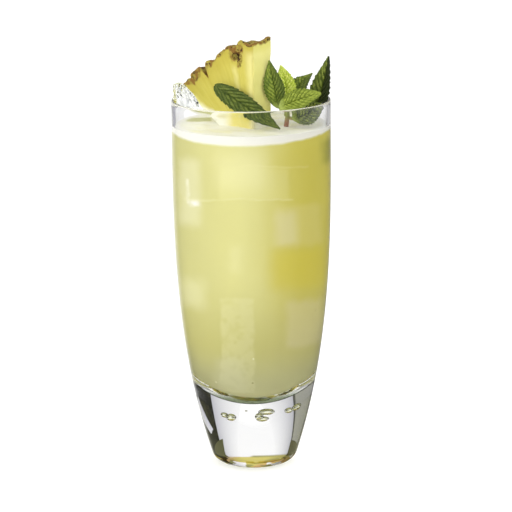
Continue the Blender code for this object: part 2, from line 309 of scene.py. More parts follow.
class Graph:
    """The node tree of a material or of a room's light, built from sockets and plain values."""

    def __init__(self, name: str, room: bool = False) -> None:
        """Starts an empty tree.

        Args:
            name: Name of the material or room.
            room: True for the light all round, and not a material.
        """
        self.owner = (bpy.data.worlds if room else bpy.data.materials).new(name)
        self.owner.use_nodes = True
        self.ending = "OutputWorld" if room else "OutputMaterial"
        self.tree = self.owner.node_tree
        self.tree.nodes.clear()

    def node(self, kind: str, inputs: Optional[dict] = None, **settings: Any) -> bpy.types.Node:
        """Adds one node.

        Args:
            kind: The node's type without the leading ShaderNode.
            inputs: Values or sockets for its inputs, by name or number.
            **settings: The node's own settings.

        Returns:
            The node.
        """
        made = self.tree.nodes.new("ShaderNode" + kind)
        for key, value in settings.items():
            setattr(made, key, value)
        for key, value in (inputs or {}).items():
            if isinstance(value, bpy.types.NodeSocket):
                self.tree.links.new(value, made.inputs[key])
            else:
                made.inputs[key].default_value = value
        return made

    def place(
        self, scale: Sequence[float] = (1, 1, 1), turn: Sequence[float] = (0, 0, 0)
    ) -> Socket:
        """Object coordinates, scaled and turned for a pattern.

        Args:
            scale: Scale on each axis.
            turn: Turn about each axis in radians.

        Returns:
            The vector socket.
        """
        source = self.node("TexCoord").outputs["Object"]
        if tuple(scale) == (1, 1, 1) and tuple(turn) == (0, 0, 0):
            return source
        return self.node("Mapping", {"Vector": source, "Scale": scale, "Rotation": turn}).outputs[0]

    def axis(self, name: str) -> Socket:
        """The place along the object's X, Y or Z axis in metres."""
        return self.node("SeparateXYZ", {0: self.place()}).outputs[name]

    def attribute(self, name: str) -> Socket:
        """A number that the mesh stores on each vertex."""
        return self.node("Attribute", attribute_name=name).outputs["Fac"]

    def noise(self, scale: float, detail: float, vector: Any = None) -> Socket:
        """Soft noise from 0 to 1.

        Args:
            scale: Cells a metre, or a unit of the vector.
            detail: Octaves.
            vector: Coordinates, or None for the object's own.

        Returns:
            The value socket.
        """
        values = {"Vector": vector or self.place(), "Scale": scale, "Detail": detail}
        return self.node("TexNoise", values).outputs[0]

    def span(
        self, value: Any, low: float, high: float, at_low: Any = 0, at_high: Any = 1
    ) -> Socket:
        """Maps a value softly from one range to another.

        Args:
            value: The socket to map.
            low: Value that gives at_low.
            high: Value that gives at_high.
            at_low: Result at low.
            at_high: Result at high.

        Returns:
            The value socket.
        """
        ends = {"From Min": low, "From Max": high, "To Min": at_low, "To Max": at_high}
        mapped = self.node("MapRange", {"Value": value, **ends}, interpolation_type="SMOOTHSTEP")
        return mapped.outputs[0]

    def blotches(
        self,
        scale: float,
        detail: float,
        low: float,
        high: float,
        most: float = 1,
        vector: Any = None,
    ) -> Socket:
        """Soft-edged blotches of noise.

        Args:
            scale: Cells a metre, or a unit of the vector.
            detail: Octaves.
            low: Noise at which a blotch begins.
            high: Noise at which it is full.
            most: Value of a full blotch.
            vector: Coordinates, or None for the object's own.

        Returns:
            The value socket, 0 outside the blotches.
        """
        return self.span(self.noise(scale, detail, vector), low, high, 0, most)

    def between(self, value: Any, low: float, high: float, soft: float) -> Socket:
        """One inside a range and nothing outside it, with soft ends.

        Args:
            value: The socket, in metres.
            low: Start of the range in mm.
            high: End of the range in mm.
            soft: Half the width of each soft end in mm.

        Returns:
            The value socket.
        """
        rising = self.span(value, (low - soft) * MM, (low + soft) * MM)
        falling = self.span(value, (high + soft) * MM, (high - soft) * MM)
        return self.times(rising, falling)

    def math(self, operation: str, first: Any, second: Any = 0.0) -> Socket:
        """One sum on two values."""
        return self.node("Math", {0: first, 1: second}, operation=operation).outputs[0]

    def times(self, first: Any, second: Any) -> Socket:
        """One value times another."""
        return self.math("MULTIPLY", first, second)

    def plus_share(self, value: Any, share: float, start: Any) -> Socket:
        """A start value with a share of another added to it."""
        values = {0: value, 1: share, 2: start}
        return self.node("Math", values, operation="MULTIPLY_ADD").outputs[0]

    def mix(self, share: Any, first: Any, second: Any) -> Socket:
        """Mixes a share of the second colour into the first."""
        values = {0: share, 6: self.rgba(first), 7: self.rgba(second)}
        return self.node("Mix", values, data_type="RGBA").outputs[2]

    def covered(self, colour: Any, *coats: tuple[Any, Any]) -> Any:
        """Lays coats over a colour, one on top of the other.

        Args:
            colour: Colour or socket to begin with.
            *coats: How much of it shows, and its colour, for each coat.

        Returns:
            The colour socket.
        """
        for share, coat in coats:
            colour = self.mix(share, colour, coat)
        return colour

    @staticmethod
    def rgba(colour: Any) -> Any:
        """A colour with its alpha, or a socket as it is."""
        return colour if isinstance(colour, bpy.types.NodeSocket) else (*colour, 1)

    def bump(self, height: Any, distance: float, strength: float) -> Socket:
        """A normal that a height bends."""
        values = {"Height": height, "Distance": distance, "Strength": strength}
        return self.node("Bump", values).outputs[0]

    def seen_straight_through(self) -> Socket:
        """One for what is seen through clear glass, with no diffuse surface on the way.

        Returns:
            The value socket.
        """
        rays = self.node("LightPath").outputs
        unscattered = self.math("LESS_THAN", rays["Diffuse Depth"], 0.5)
        return self.times(rays["Is Transmission Ray"], unscattered)

    def surface(self, shader: Socket) -> Any:
        """Ends the tree in a shader and gives the finished material or room."""
        self.node(self.ending, {"Surface": shader})
        return self.owner

    def solid_body(self, inputs: dict) -> bpy.types.Material:
        """Ends the tree in a Principled shader with the given inputs."""
        return self.surface(self.node("BsdfPrincipled", inputs).outputs[0])

    def clear_body(self, colour: Socket, ior: float, shadow_tint: Colour) -> bpy.types.Material:
        """Ends the tree in a refracting shader that lets lamps through.

        Args:
            colour: The clear body's colour.
            ior: How strongly it refracts.
            shadow_tint: Colour that a lamp's light takes on its way through.

        Returns:
            The finished material.
        """
        body = self.node("BsdfGlass", {"Color": colour, "Roughness": 0.0, "IOR": ior}).outputs[0]
        lamp_ray = self.node("LightPath").outputs["Is Shadow Ray"]
        through = self.node("BsdfTransparent", {"Color": self.rgba(shadow_tint)}).outputs[0]
        return self.surface(self.node("MixShader", {0: lamp_ray, 1: body, 2: through}).outputs[0])


@dataclass(frozen=True)
class BubbleFinish:
    """Air shut in glass: clear in the middle, with a dark olive rim painted at grazing angles,
    painted shade for the dark rim that such bubbles show.
    """

    # The rim colour is painted shade for the dark edge of a bubble seen edge on.
    rim: Colour = (0.10, 0.105, 0.05)
    middle: Colour = (0.93, 0.94, 0.84)
    rim_begins: float = 0.62
    rim_full: float = 0.95
    unevenness: float = 0.5

    def build(self) -> bpy.types.Material:
        """Makes the material.

        Returns:
            The material.
        """
        graph = Graph("air in glass")
        # Painted shade: the rim darkens where the bubble is seen edge on.
        facing = graph.node("LayerWeight").outputs["Facing"]
        rim = graph.plus_share(graph.noise(700, 1), self.unevenness, facing)
        colour = graph.mix(graph.span(rim, self.rim_begins, self.rim_full), self.middle, self.rim)
        return graph.clear_body(colour, 1 / GLASS_IOR, WHITE)


@dataclass(frozen=True)
class IceFinish:
    """Clear ice with a few dark specks and fine grey squiggles, painted shade for the dark lines
    that refraction draws in ice.
    """

    clear: Colour = (0.97, 0.98, 0.96)
    # The grey line colour is painted shade for the dark lines that refraction draws in ice.
    squiggle_shade: Colour = (0.20, 0.20, 0.19)
    speck: Colour = (0.02, 0.02, 0.02)
    shadow_tint: Colour = (0.95, 0.96, 0.95)
    ior: float = 1.31
    speck_cells: float = 420.0

    def build(self) -> bpy.types.Material:
        """Makes the material.

        Returns:
            The material.
        """
        graph = Graph("clear ice")
        # Painted shade: fine grey squiggles in patches.
        folds = graph.math("ABSOLUTE", graph.math("SUBTRACT", graph.noise(240, 2), 0.5))
        painted_squiggles = graph.times(
            graph.span(folds, 0.016, 0.004), graph.blotches(170, 1, 0.50, 0.62, 0.8)
        )
        cells = {"Vector": graph.place(), "Scale": self.speck_cells}
        cells = graph.node("TexVoronoi", cells).outputs
        few = graph.node("SeparateColor", {0: cells["Color"]}).outputs[0]
        specks = graph.times(graph.span(cells["Distance"], 0.30, 0.20), graph.span(few, 0.93, 0.95))
        colour = graph.covered(self.clear, (painted_squiggles, self.squiggle_shade), (specks, self.speck))
        return graph.clear_body(colour, self.ior, self.shadow_tint)


@dataclass(frozen=True)
class TumblerFinish:
    """Clear glass whose rounded foot has painted light: yellow and orange light, olive shade and
    white glints standing in for what it gathers from the drink above.
    """

    shadow_tint: Colour = (0.97, 0.98, 0.97)
    foot_top: float = 5.0 * MM
    foot_fade: float = 1.0 * MM
    # Painted light on the foot: yellow and orange light from the drink, olive shade and white
    # glints.
    yellow: Colour = (0.70, 0.62, 0.19)
    orange: Colour = (0.72, 0.50, 0.21)
    olive: Colour = (0.36, 0.35, 0.14)
    glint: Colour = (1, 0.98, 0.97)

    def build(self) -> bpy.types.Material:
        """Makes the material.

        Returns:
            The material.
        """
        graph = Graph("clear glass")
        patches = graph.place((110, 110, 180))
        spots = graph.place((150, 150, 260), (0, 0, 0.7))
        lights = graph.place((190, 190, 300), (0, 0, 2.1))
        colour = graph.covered(
            self.yellow,
            (graph.blotches(1.0, 1, 0.50, 0.60, 1, patches), self.orange),
            (graph.blotches(1.0, 1, 0.52, 0.60, 1, spots), self.olive),
            (graph.blotches(1.0, 1, 0.56, 0.64, 1, lights), self.glint),
        )
        # The foot's painted light is left out for diffuse rays, so the floor takes none of its
        # colour.
        foot = graph.span(graph.axis("Z"), self.foot_top, self.foot_top - self.foot_fade)
        floor_ray = graph.node("LightPath").outputs["Is Diffuse Ray"]
        foot = graph.times(foot, graph.math("SUBTRACT", 1.0, floor_ray))
        return graph.clear_body(graph.mix(foot, WHITE, colour), GLASS_IOR, self.shadow_tint)


@dataclass(frozen=True)
class DrinkFinish:
    """The cloudy drink, painted paler where the light comes from and shaded low down, with the ice
    in it as soft shapes, painted highlights, and a mirror painted dark at the bowl.
    """

    # Painted light: paler on the left, where the light comes from, brightest in the middle and
    # deeper yellow on the right, away from the light.
    left: Colour = (0.66, 0.635, 0.28)
    middle: Colour = (0.79, 0.76, 0.34)
    right: Colour = (0.70, 0.63, 0.125)
    # Darker and greyer low down: partly settled pulp, partly painted shade.
    low_left: Colour = (0.60, 0.57, 0.22)
    low_right: Colour = (0.64, 0.60, 0.23)
    bottom: Colour = (0.60, 0.59, 0.31)
    froth: Colour = (0.96, 0.95, 0.84)
    pale_pulp: Colour = (1.0, 0.98, 0.72)
    dark_pulp: Colour = (0.22, 0.20, 0.05)
    # The mirror's colours are painted: a greenish dark reflection over the bowl's bottom, and
    # painted shade as a dark line along its outline.
    bowl_sheen: Colour = (0.20, 0.235, 0.15)
    painted_outline_shade: Colour = (0.05, 0.055, 0.04)
    ior_in_glass: float = 1.34 / GLASS_IOR
    pulp_cells: float = 260.0
    sway: float = 3.0 * MM
    ripple: float = 2.8 * MM
    bow: float = 3.3
    thin_softness: float = 1.0
    dark_below: float = 0.5
    # Where one colour turns into the next
    drift: float = 14 * MM
    to_middle: Range = (-26 * MM, 4 * MM)
    to_right: Range = (4 * MM, 32 * MM)
    to_low: Range = (98 * MM, 55 * MM)
    to_bottom: Range = (62 * MM, 38 * MM)
    above_bowl: Range = (33.5 * MM, 38.5 * MM)
    at_outline: Range = (0.80, 0.90)
    at_front: Range = (1 * MM, -7 * MM)
    # Ice under the surface, faint light lines and two painted highlights: x from, x to, height
    # from, height to, softness (mm), share, colour
    ice: Sequence[tuple[float, float, float, float, float, float, Colour]] = (
        (10.0, 19.0, 108.0, 123.0, 3.0, 0.60, (0.80, 0.75, 0.44)),
        (-16.0, 6.0, 134.0, 150.0, 5.0, 0.40, (0.94, 0.91, 0.54)),
        (31.0, 38.0, 144.0, 155.0, 2.5, 0.75, (0.38, 0.37, 0.06)),
        (10.0, 30.0, 107.5, 126.0, 2.0, 0.22, (0.86, 0.80, 0.42)),
        (-31.5, -22.0, 117.0, 147.0, 3.0, 0.45, (0.90, 0.88, 0.62)),
        # The next two rows are painted highlights: the lamp's upright reflection on the glass, and
        # a bright spot below it.
        (-28.6, -27.2, 127.0, 138.0, 0.6, 0.55, (1.0, 0.98, 0.84)),
        (-27.8, -22.5, 126.0, 128.4, 1.0, 0.95, (1.0, 0.98, 0.93)),
        (-30.0, 18.0, 128.4, 129.3, 0.5, 0.20, (1.0, 0.98, 0.68)),
        (-8.0, 25.0, 143.2, 144.0, 0.5, 0.17, (1.0, 0.96, 0.60)),
        (-14.0, 16.0, 129.0, 143.0, 1.5, 0.18, (0.95, 0.93, 0.52)),
        (-31.0, -21.0, 79.0, 92.0, 4.0, 0.45, (0.90, 0.88, 0.55)),
        (-14.0, 0.2, 38.0, 84.0, 0.8, 0.25, (0.90, 0.88, 0.54)),
        (14.5, 30.0, 60.0, 82.0, 2.5, 0.40, (0.78, 0.72, 0.44)),
        (8.0, 32.0, 88.0, 106.0, 4.0, 0.50, (0.74, 0.64, 0.08)),
        (-10.0, -4.5, 96.0, 108.0, 3.0, 0.25, (0.94, 0.92, 0.56)),
        (-16.0, -4.0, 40.0, 56.0, 3.0, 0.25, (0.74, 0.73, 0.48)),
    )

    def build(self) -> bpy.types.Material:
        """Makes the material.

        Returns:
            The material.
        """
        graph = Graph("cloudy drink")
        across, height = graph.axis("X"), graph.axis("Z")
        drifted = graph.plus_share(graph.noise(34, 3), self.drift, across)
        middle = graph.span(drifted, *self.to_middle)
        right = graph.span(drifted, *self.to_right)
        colour = graph.covered(
            graph.covered(self.left, (middle, self.middle), (right, self.right)),
            (graph.span(height, *self.to_low), graph.mix(right, self.low_left, self.low_right)),
            (graph.span(height, *self.to_bottom), self.bottom),
        )
        colour = self.with_froth(graph, self.with_ice_and_highlights(graph, colour, across, height))
        values = {"Base Color": colour, "Roughness": 0.6, "Specular IOR Level": 0.0}
        cloudy = graph.node("BsdfPrincipled", values).outputs[0]
        # The mirror between glass and drink is painted darker over the bowl and dark at its grazing
        # outline.
        grazing = graph.node("LayerWeight").outputs["Facing"]
        sheen = graph.covered(
            self.bowl_sheen,
            (graph.span(height, *self.above_bowl), WHITE),
            (graph.span(grazing, *self.at_outline), self.painted_outline_shade),
        )
        mirror = graph.node("BsdfGlossy", {"Color": sheen, "Roughness": 0.0}).outputs[0]
        share = graph.node("Fresnel", {"IOR": self.ior_in_glass}).outputs[0]
        return graph.surface(graph.node("MixShader", {0: share, 1: cloudy, 2: mirror}).outputs[0])

    def with_ice_and_highlights(self, graph: Graph, colour: Any, across: Any, height: Any) -> Socket:
        """Lays the soft shapes of ice, two painted highlights and a few flecks of pulp over the
        drink's colour.

        Args:
            graph: The material's nodes.
            colour: The drink's own colour.
            across: Place across the drink.
            height: Height in the drink.

        Returns:
            The colour with the ice.
        """
        level = graph.math("ADD", height, graph.times(graph.times(across, across), self.bow))
        level = graph.plus_share(graph.noise(160, 2), self.ripple, level)
        swayed = graph.noise(120, 2, graph.place((1, 1, 1), (0.6, 0, 0)))
        swayed = graph.plus_share(swayed, self.sway, across)
        side, rise = self.sway / 2 / MM, self.ripple / 2 / MM
        uneven = graph.span(graph.noise(230, 2), 0.30, 0.58, 0.35, 1.0)
        in_front = graph.span(graph.axis("Y"), *self.at_front)
        for left, right, low, high, soft, share, tone in self.ice:
            inside = graph.times(graph.between(swayed, left + side, right + side, soft), share)
            inside = graph.times(inside, graph.between(level, low + rise, high + rise, soft))
            if soft <= self.thin_softness:
                inside = graph.times(inside, uneven)
            if tone[0] < self.dark_below:
                inside = graph.times(inside, in_front)
            colour = graph.mix(inside, colour, tone)
        cells = {"Vector": graph.place((1, 1, 0.7)), "Scale": self.pulp_cells}
        pulp = graph.node("TexVoronoi", cells).outputs
        near = graph.span(pulp["Distance"], 0.16, 0.05)
        few = graph.node("SeparateColor", {0: pulp["Color"]}).outputs
        pale = graph.times(near, graph.span(few[0], 0.965, 0.985, 0, 0.8))
        dark = graph.times(near, graph.span(few[1], 0.990, 0.996, 0, 0.75))
        return graph.covered(colour, (pale, self.pale_pulp), (dark, self.dark_pulp))

    def with_froth(self, graph: Graph, colour: Any) -> Socket:
        """Blends the drink softly into the foam above it."""
        depth = graph.plus_share(graph.noise(150, 3), 1.5, graph.attribute("under_foam"))
        return graph.mix(graph.span(depth, 2.1, 0.5), colour, self.froth)


@dataclass(frozen=True)
class FoamFinish:
    """Fine cream foam, with one thin patch where the drink shows."""

    light: Colour = (0.97, 0.96, 0.89)
    top_light: Colour = (0.93, 0.92, 0.78)
    cream: Colour = (0.86, 0.84, 0.56)
    thin: Colour = (0.60, 0.60, 0.25)
    cells: float = 1400.0
    at_wall: Range = (30 * MM, 33.8 * MM)
    # The thin patch in mm: from, to and softness
    thin_across: Sequence[float] = (-30, -18, 1)
    thin_back: Sequence[float] = (11, 20, 1)

    def build(self) -> bpy.types.Material:
        """Makes the material.

        Returns:
            The material.
        """
        graph = Graph("cream foam")
        flat = graph.node("VectorMath", {0: graph.place(), 1: (1, 1, 0)}, operation="MULTIPLY")
        from_axis = graph.node("VectorMath", {0: flat.outputs[0]}, operation="LENGTH")
        edge = graph.plus_share(graph.noise(200, 2), 4 * MM, graph.axis("Y"))
        across = graph.between(graph.axis("X"), *self.thin_across)
        thin = graph.times(across, graph.between(edge, *self.thin_back))
        colour = graph.covered(
            self.top_light,
            (graph.blotches(90, 4, 0.40, 0.70), self.cream),
            (thin, self.thin),
            (graph.span(from_axis.outputs["Value"], *self.at_wall), self.light),
        )
        cells = graph.node("TexVoronoi", {"Vector": graph.place(), "Scale": self.cells})
        normal = graph.bump(cells.outputs["Distance"], 0.15 * MM, 0.35)
        values = {"Base Color": colour, "Roughness": 0.55, "Specular IOR Level": 0.3}
        return graph.solid_body({**values, "Normal": normal})


@dataclass(frozen=True)
class PineappleFinish:
    """Moist yellow flesh with radial fibres, under a scaly brown rind."""

    flesh: Colour = (0.54, 0.475, 0.080)
    ripe: Colour = (0.44, 0.36, 0.045)
    bright: Colour = (0.66, 0.59, 0.13)
    side: Colour = (0.74, 0.70, 0.19)
    pale: Colour = (0.90, 0.86, 0.42)
    foamy: Colour = (0.87, 0.86, 0.72)
    bare: Colour = (0.76, 0.66, 0.09)
    rind: Colour = (0.23, 0.115, 0.018)
    dark: Colour = (0.060, 0.026, 0.006)
    olive: Colour = (0.34, 0.27, 0.040)
    fibre_scale: Sequence[float] = (30, 3, 1)
    grain_scale: Sequence[float] = (120, 12, 1)
    # The bare strip above the foam in mm: from, to and softness
    bare_height: Sequence[float] = (158.0, 163.4, 1.0)
    bare_across: Sequence[float] = (-10, 1.0, 3.0)
    bare_share: float = 0.8
    flesh_roughness: float = 0.34
    rind_roughness: float = 0.35

    def build(self) -> bpy.types.Material:
        """Makes the material.

        Returns:
            The material.
        """
        graph = Graph("pineapple")
        uv = graph.node("UVMap", uv_map="UVMap").outputs[0]
        fibres, grain = (
            graph.node("Mapping", {"Vector": uv, "Scale": scale}).outputs[0]
            for scale in (self.fibre_scale, self.grain_scale)
        )
        wavy = graph.plus_share(graph.noise(260, 2), 4 * MM, graph.axis("Z"))
        bare = graph.between(wavy, *self.bare_height)
        bare = graph.times(bare, graph.between(graph.axis("X"), *self.bare_across))
        skin = graph.covered(
            self.rind,
            (graph.blotches(420, 3, 0.42, 0.58), self.olive),
            (graph.blotches(700, 2, 0.54, 0.66), self.dark),
        )
        colour = graph.covered(
            self.flesh,
            (graph.blotches(1.0, 3, 0.35, 0.90, 0.7, fibres), self.bright),
            (graph.attribute("ripe"), self.ripe),
            (graph.attribute("cut_side"), self.side),
            (graph.attribute("streak"), self.pale),
            (graph.attribute("core"), self.foamy),
            (graph.times(bare, self.bare_share), self.bare),
            (graph.attribute("rind"), skin),
        )
        values = {
            "Base Color": colour,
            "Roughness": graph.plus_share(
                graph.attribute("rind"), self.rind_roughness, self.flesh_roughness
            ),
            "Normal": graph.bump(graph.noise(1.0, 2, grain), 0.12 * MM, 0.3),
            "Specular IOR Level": 0.25,
        }
        return graph.solid_body(values)


@dataclass(frozen=True)
class EyeFinish:
    """The dark brown lining of a pineapple's eye."""

    dark: Colour = (0.05, 0.02, 0.01)
    brown: Colour = (0.28, 0.13, 0.05)

    def build(self) -> bpy.types.Material:
        """Makes the material.

        Returns:
            The material.
        """
        graph = Graph("pineapple eye")
        colour = graph.mix(graph.blotches(900, 3, 0.4, 0.65), self.dark, self.brown)
        return graph.solid_body({"Base Color": colour, "Roughness": 0.6})


@dataclass(frozen=True)
class LeafFinish:
    """A quilted mint leaf: painted shade in its grooves and fine net, a blade with painted
    highlights on its puffs and, on one half, painted shade.
    """

    name: str
    # The groove colour is painted shade in the creases and the light colour a painted highlight on
    # the puffs; shade is painted shade over one half.
    groove_shade: Colour
    blade: Colour
    light: Colour
    dark_half: float = 0.0
    shade: Colour = (0.030, 0.048, 0.010)
    base: Colour = (0.46, 0.55, 0.15)
    mottle: float = 0.16
    net_cells: float = 1100.0
    net: Range = (0.02, 0.13)
    to_blade: Range = (0.02, 0.45)
    to_light: Range = (0.62, 1.05)
    to_shade: Range = (-0.05, 0.12)

    def build(self) -> bpy.types.Material:
        """Makes the material.

        Returns:
            The material.
        """
        graph = Graph(self.name)
        mottle = graph.span(graph.noise(480, 3), 0.3, 0.7, -self.mottle, self.mottle)
        puff = graph.math("ADD", graph.attribute("puff"), mottle)
        cells = {"Vector": graph.place(), "Scale": self.net_cells}
        cells = graph.node("TexVoronoi", cells, feature="DISTANCE_TO_EDGE").outputs["Distance"]
        # Painted light and shade: grooves and the fine net darkened as shade, the puffs' tops lit
        # as highlights.
        colour = graph.covered(
            self.groove_shade,
            (graph.span(puff, *self.to_blade), self.blade),
            (graph.span(puff, *self.to_light), self.light),
            (graph.span(cells, *self.net, 0.45, 0), self.groove_shade),
        )
        # Painted shade over one half of the blade.
        if self.dark_half:
            half = graph.span(graph.attribute("side"), *self.to_shade, 0, self.dark_half)
            colour = graph.mix(half, colour, self.shade)
        colour = graph.mix(graph.attribute("near_base"), colour, self.base)
        normal = graph.bump(graph.noise(1500, 2), 0.12 * MM, 0.3)
        values = {"Base Color": colour, "Roughness": 0.55, "Specular IOR Level": 0.25}
        return graph.solid_body({**values, "Normal": normal})


@dataclass(frozen=True)
class StemFinish:
    """Pinkish brown stem that turns green at its top."""

    low: Colour = (0.40, 0.19, 0.12)
    high: Colour = (0.45, 0.55, 0.16)
    streak: Colour = (0.16, 0.08, 0.05)
    green_from: float = 158 * MM
    green_full: float = 162.5 * MM

    def build(self) -> bpy.types.Material:
        """Makes the material.

        Returns:
            The material.
        """
        graph = Graph("mint stem")
        green = graph.span(graph.axis("Z"), self.green_from, self.green_full)
        streaks = graph.blotches(1.0, 2, 0.45, 0.75, 0.5, graph.place((2200, 2200, 260)))
        colour = graph.covered(self.low, (green, self.high), (streaks, self.streak))
        return graph.solid_body({"Base Color": colour, "Roughness": 0.5})


# The glass and what fills it


@dataclass
class Tumbler:
    """The tall glass: thin wall, heavy round-bowled base, small foot."""

    height: float = 168 * MM
    rim_radius: float = 35.8 * MM
    foot_draw_in: float = 17.8 * MM
    upright_above: float = 155 * MM
    draw_in_power: float = 2.95
    foot_rounding: float = 7.0 * MM
    wall_at_rim: float = 1.4 * MM
    wall_at_foot: float = 3.0 * MM
    cavity_floor: float = 31 * MM
    bowl_top: float = 60 * MM
    bowl_power: float = 2.5
    bowl_points: int = 48
    wall_points: int = 60
    lip_points: int = 12
    side_points: int = 110
    foot_points: int = 14
    turn_steps: int = 160

    def outer_radius(self, height: float) -> float:
        """The outside's radius at a height."""
        below = max(0.0, 1 - height / self.upright_above)
        return self.rim_radius - self.foot_draw_in * below**self.draw_in_power

    def cavity_radius(self, height: float) -> float:
        """The inside's radius at a height, above the round bowl."""
        wall = self.wall_at_foot + (self.wall_at_rim - self.wall_at_foot) * height / self.height
        return self.outer_radius(height) - wall

    def cavity_profile(self, top: float, reach: float = 0.0) -> list[tuple[float, float]]:
        """The inside from the axis at its floor up to a height.

        Args:
            top: Height to stop at.
            reach: How far into the wall the line lies.

        Returns:
            Points (radius, height).
        """
        floor = self.cavity_floor - reach
        points = []
        for i in range(self.bowl_points):
            turn = math.pi / 2 * (1 - i / self.bowl_points)
            rise = math.sin(turn) ** (2 / self.bowl_power)
            height = self.bowl_top - (self.bowl_top - floor) * rise
            radius = (self.cavity_radius(height) + reach) * math.cos(turn)
            points.append((radius if i else 0.0, height))
        for i in range(self.wall_points + 1):
            height = self.bowl_top + (top - self.bowl_top) * i / self.wall_points
            points.append((self.cavity_radius(height) + reach, height))
        return points

    def section(self) -> list[tuple[float, float]]:
        """Floor of the cavity, up the inside, over the rim, down the outside, round the foot.

        Returns:
            Points (radius, height) that start and end on the axis.
        """
        lip = self.wall_at_rim / 2
        lip_height = self.height - lip
        points = self.cavity_profile(lip_height)
        for i in range(1, self.lip_points):
            turn = math.pi * i / self.lip_points
            across = self.rim_radius - lip - lip * math.cos(turn)
            points.append((across, lip_height + lip * math.sin(turn)))
        rise = self.outer_radius(self.foot_rounding) - self.outer_radius(0)
        slope = math.atan(rise / self.foot_rounding)
        corner_height = self.foot_rounding * (1 - math.sin(slope))
        for i in range(self.side_points + 1):
            height = lip_height + (corner_height - lip_height) * i / self.side_points
            points.append((self.outer_radius(height), height))
        corner = self.outer_radius(corner_height) - self.foot_rounding * math.cos(slope)
        for i in range(1, self.foot_points + 1):
            turn = slope + (math.pi / 2 - slope) * i / self.foot_points
            across = corner + self.foot_rounding * math.cos(turn)
            points.append((across, self.foot_rounding * (1 - math.sin(turn))))
        points += [(corner * share, 0.0) for share in (0.75, 0.5, 0.25, 0.0)]
        return points

    def build(self) -> None:
        """Makes the glass in place of its CAD node."""
        glass = turned("tumbler", self.section(), self.turn_steps)
        smooth(glass)
        hand_over(glass, Slot.GLASS, TumblerFinish().build(), "glass")


@dataclass
class AirBubbles:
    """Flattened air bubbles shut in the glass's base."""

    spots: Sequence[tuple[Sequence[float], Sequence[float], float]] = (
        ((-10.6, -8.0, 26.0), (1.5, 1.3, 1.2), 15),
        ((-8.3, -9.0, 25.2), (1.9, 1.5, 1.7), -10),
        ((4.1, -6.0, 27.6), (2.8, 1.8, 1.5), 0),
        ((1.7, -8.5, 25.8), (1.5, 1.3, 1.6), 20),
        ((2.9, -7.5, 24.4), (2.2, 1.5, 1.2), -5),
        ((12.3, -7.0, 27.6), (1.7, 1.4, 1.3), 0),
        ((15.3, -6.0, 28.6), (2.2, 1.5, 1.5), -25),
        ((-2.6, -4.0, 28.0), (0.5, 0.5, 0.3), 0),
    )

    def build(self) -> None:
        """Makes the bubbles, each a squashed sphere that rides with the glass."""
        finish = BubbleFinish().build()
        pieces = []
        for middle, size, lean in self.spots:
            select_only(None)
            bpy.ops.mesh.primitive_uv_sphere_add(
                segments=32,
                ring_count=18,
                radius=MM,
                location=Vector(middle) * MM,
                rotation=(0, math.radians(lean), 0),
                scale=size,
            )
            pieces.append(named_active("bubble"))
        bubbles = joined("base_air_bubbles", pieces)
        smooth(bubbles)
        hand_over(bubbles, Slot.GLASS, finish)


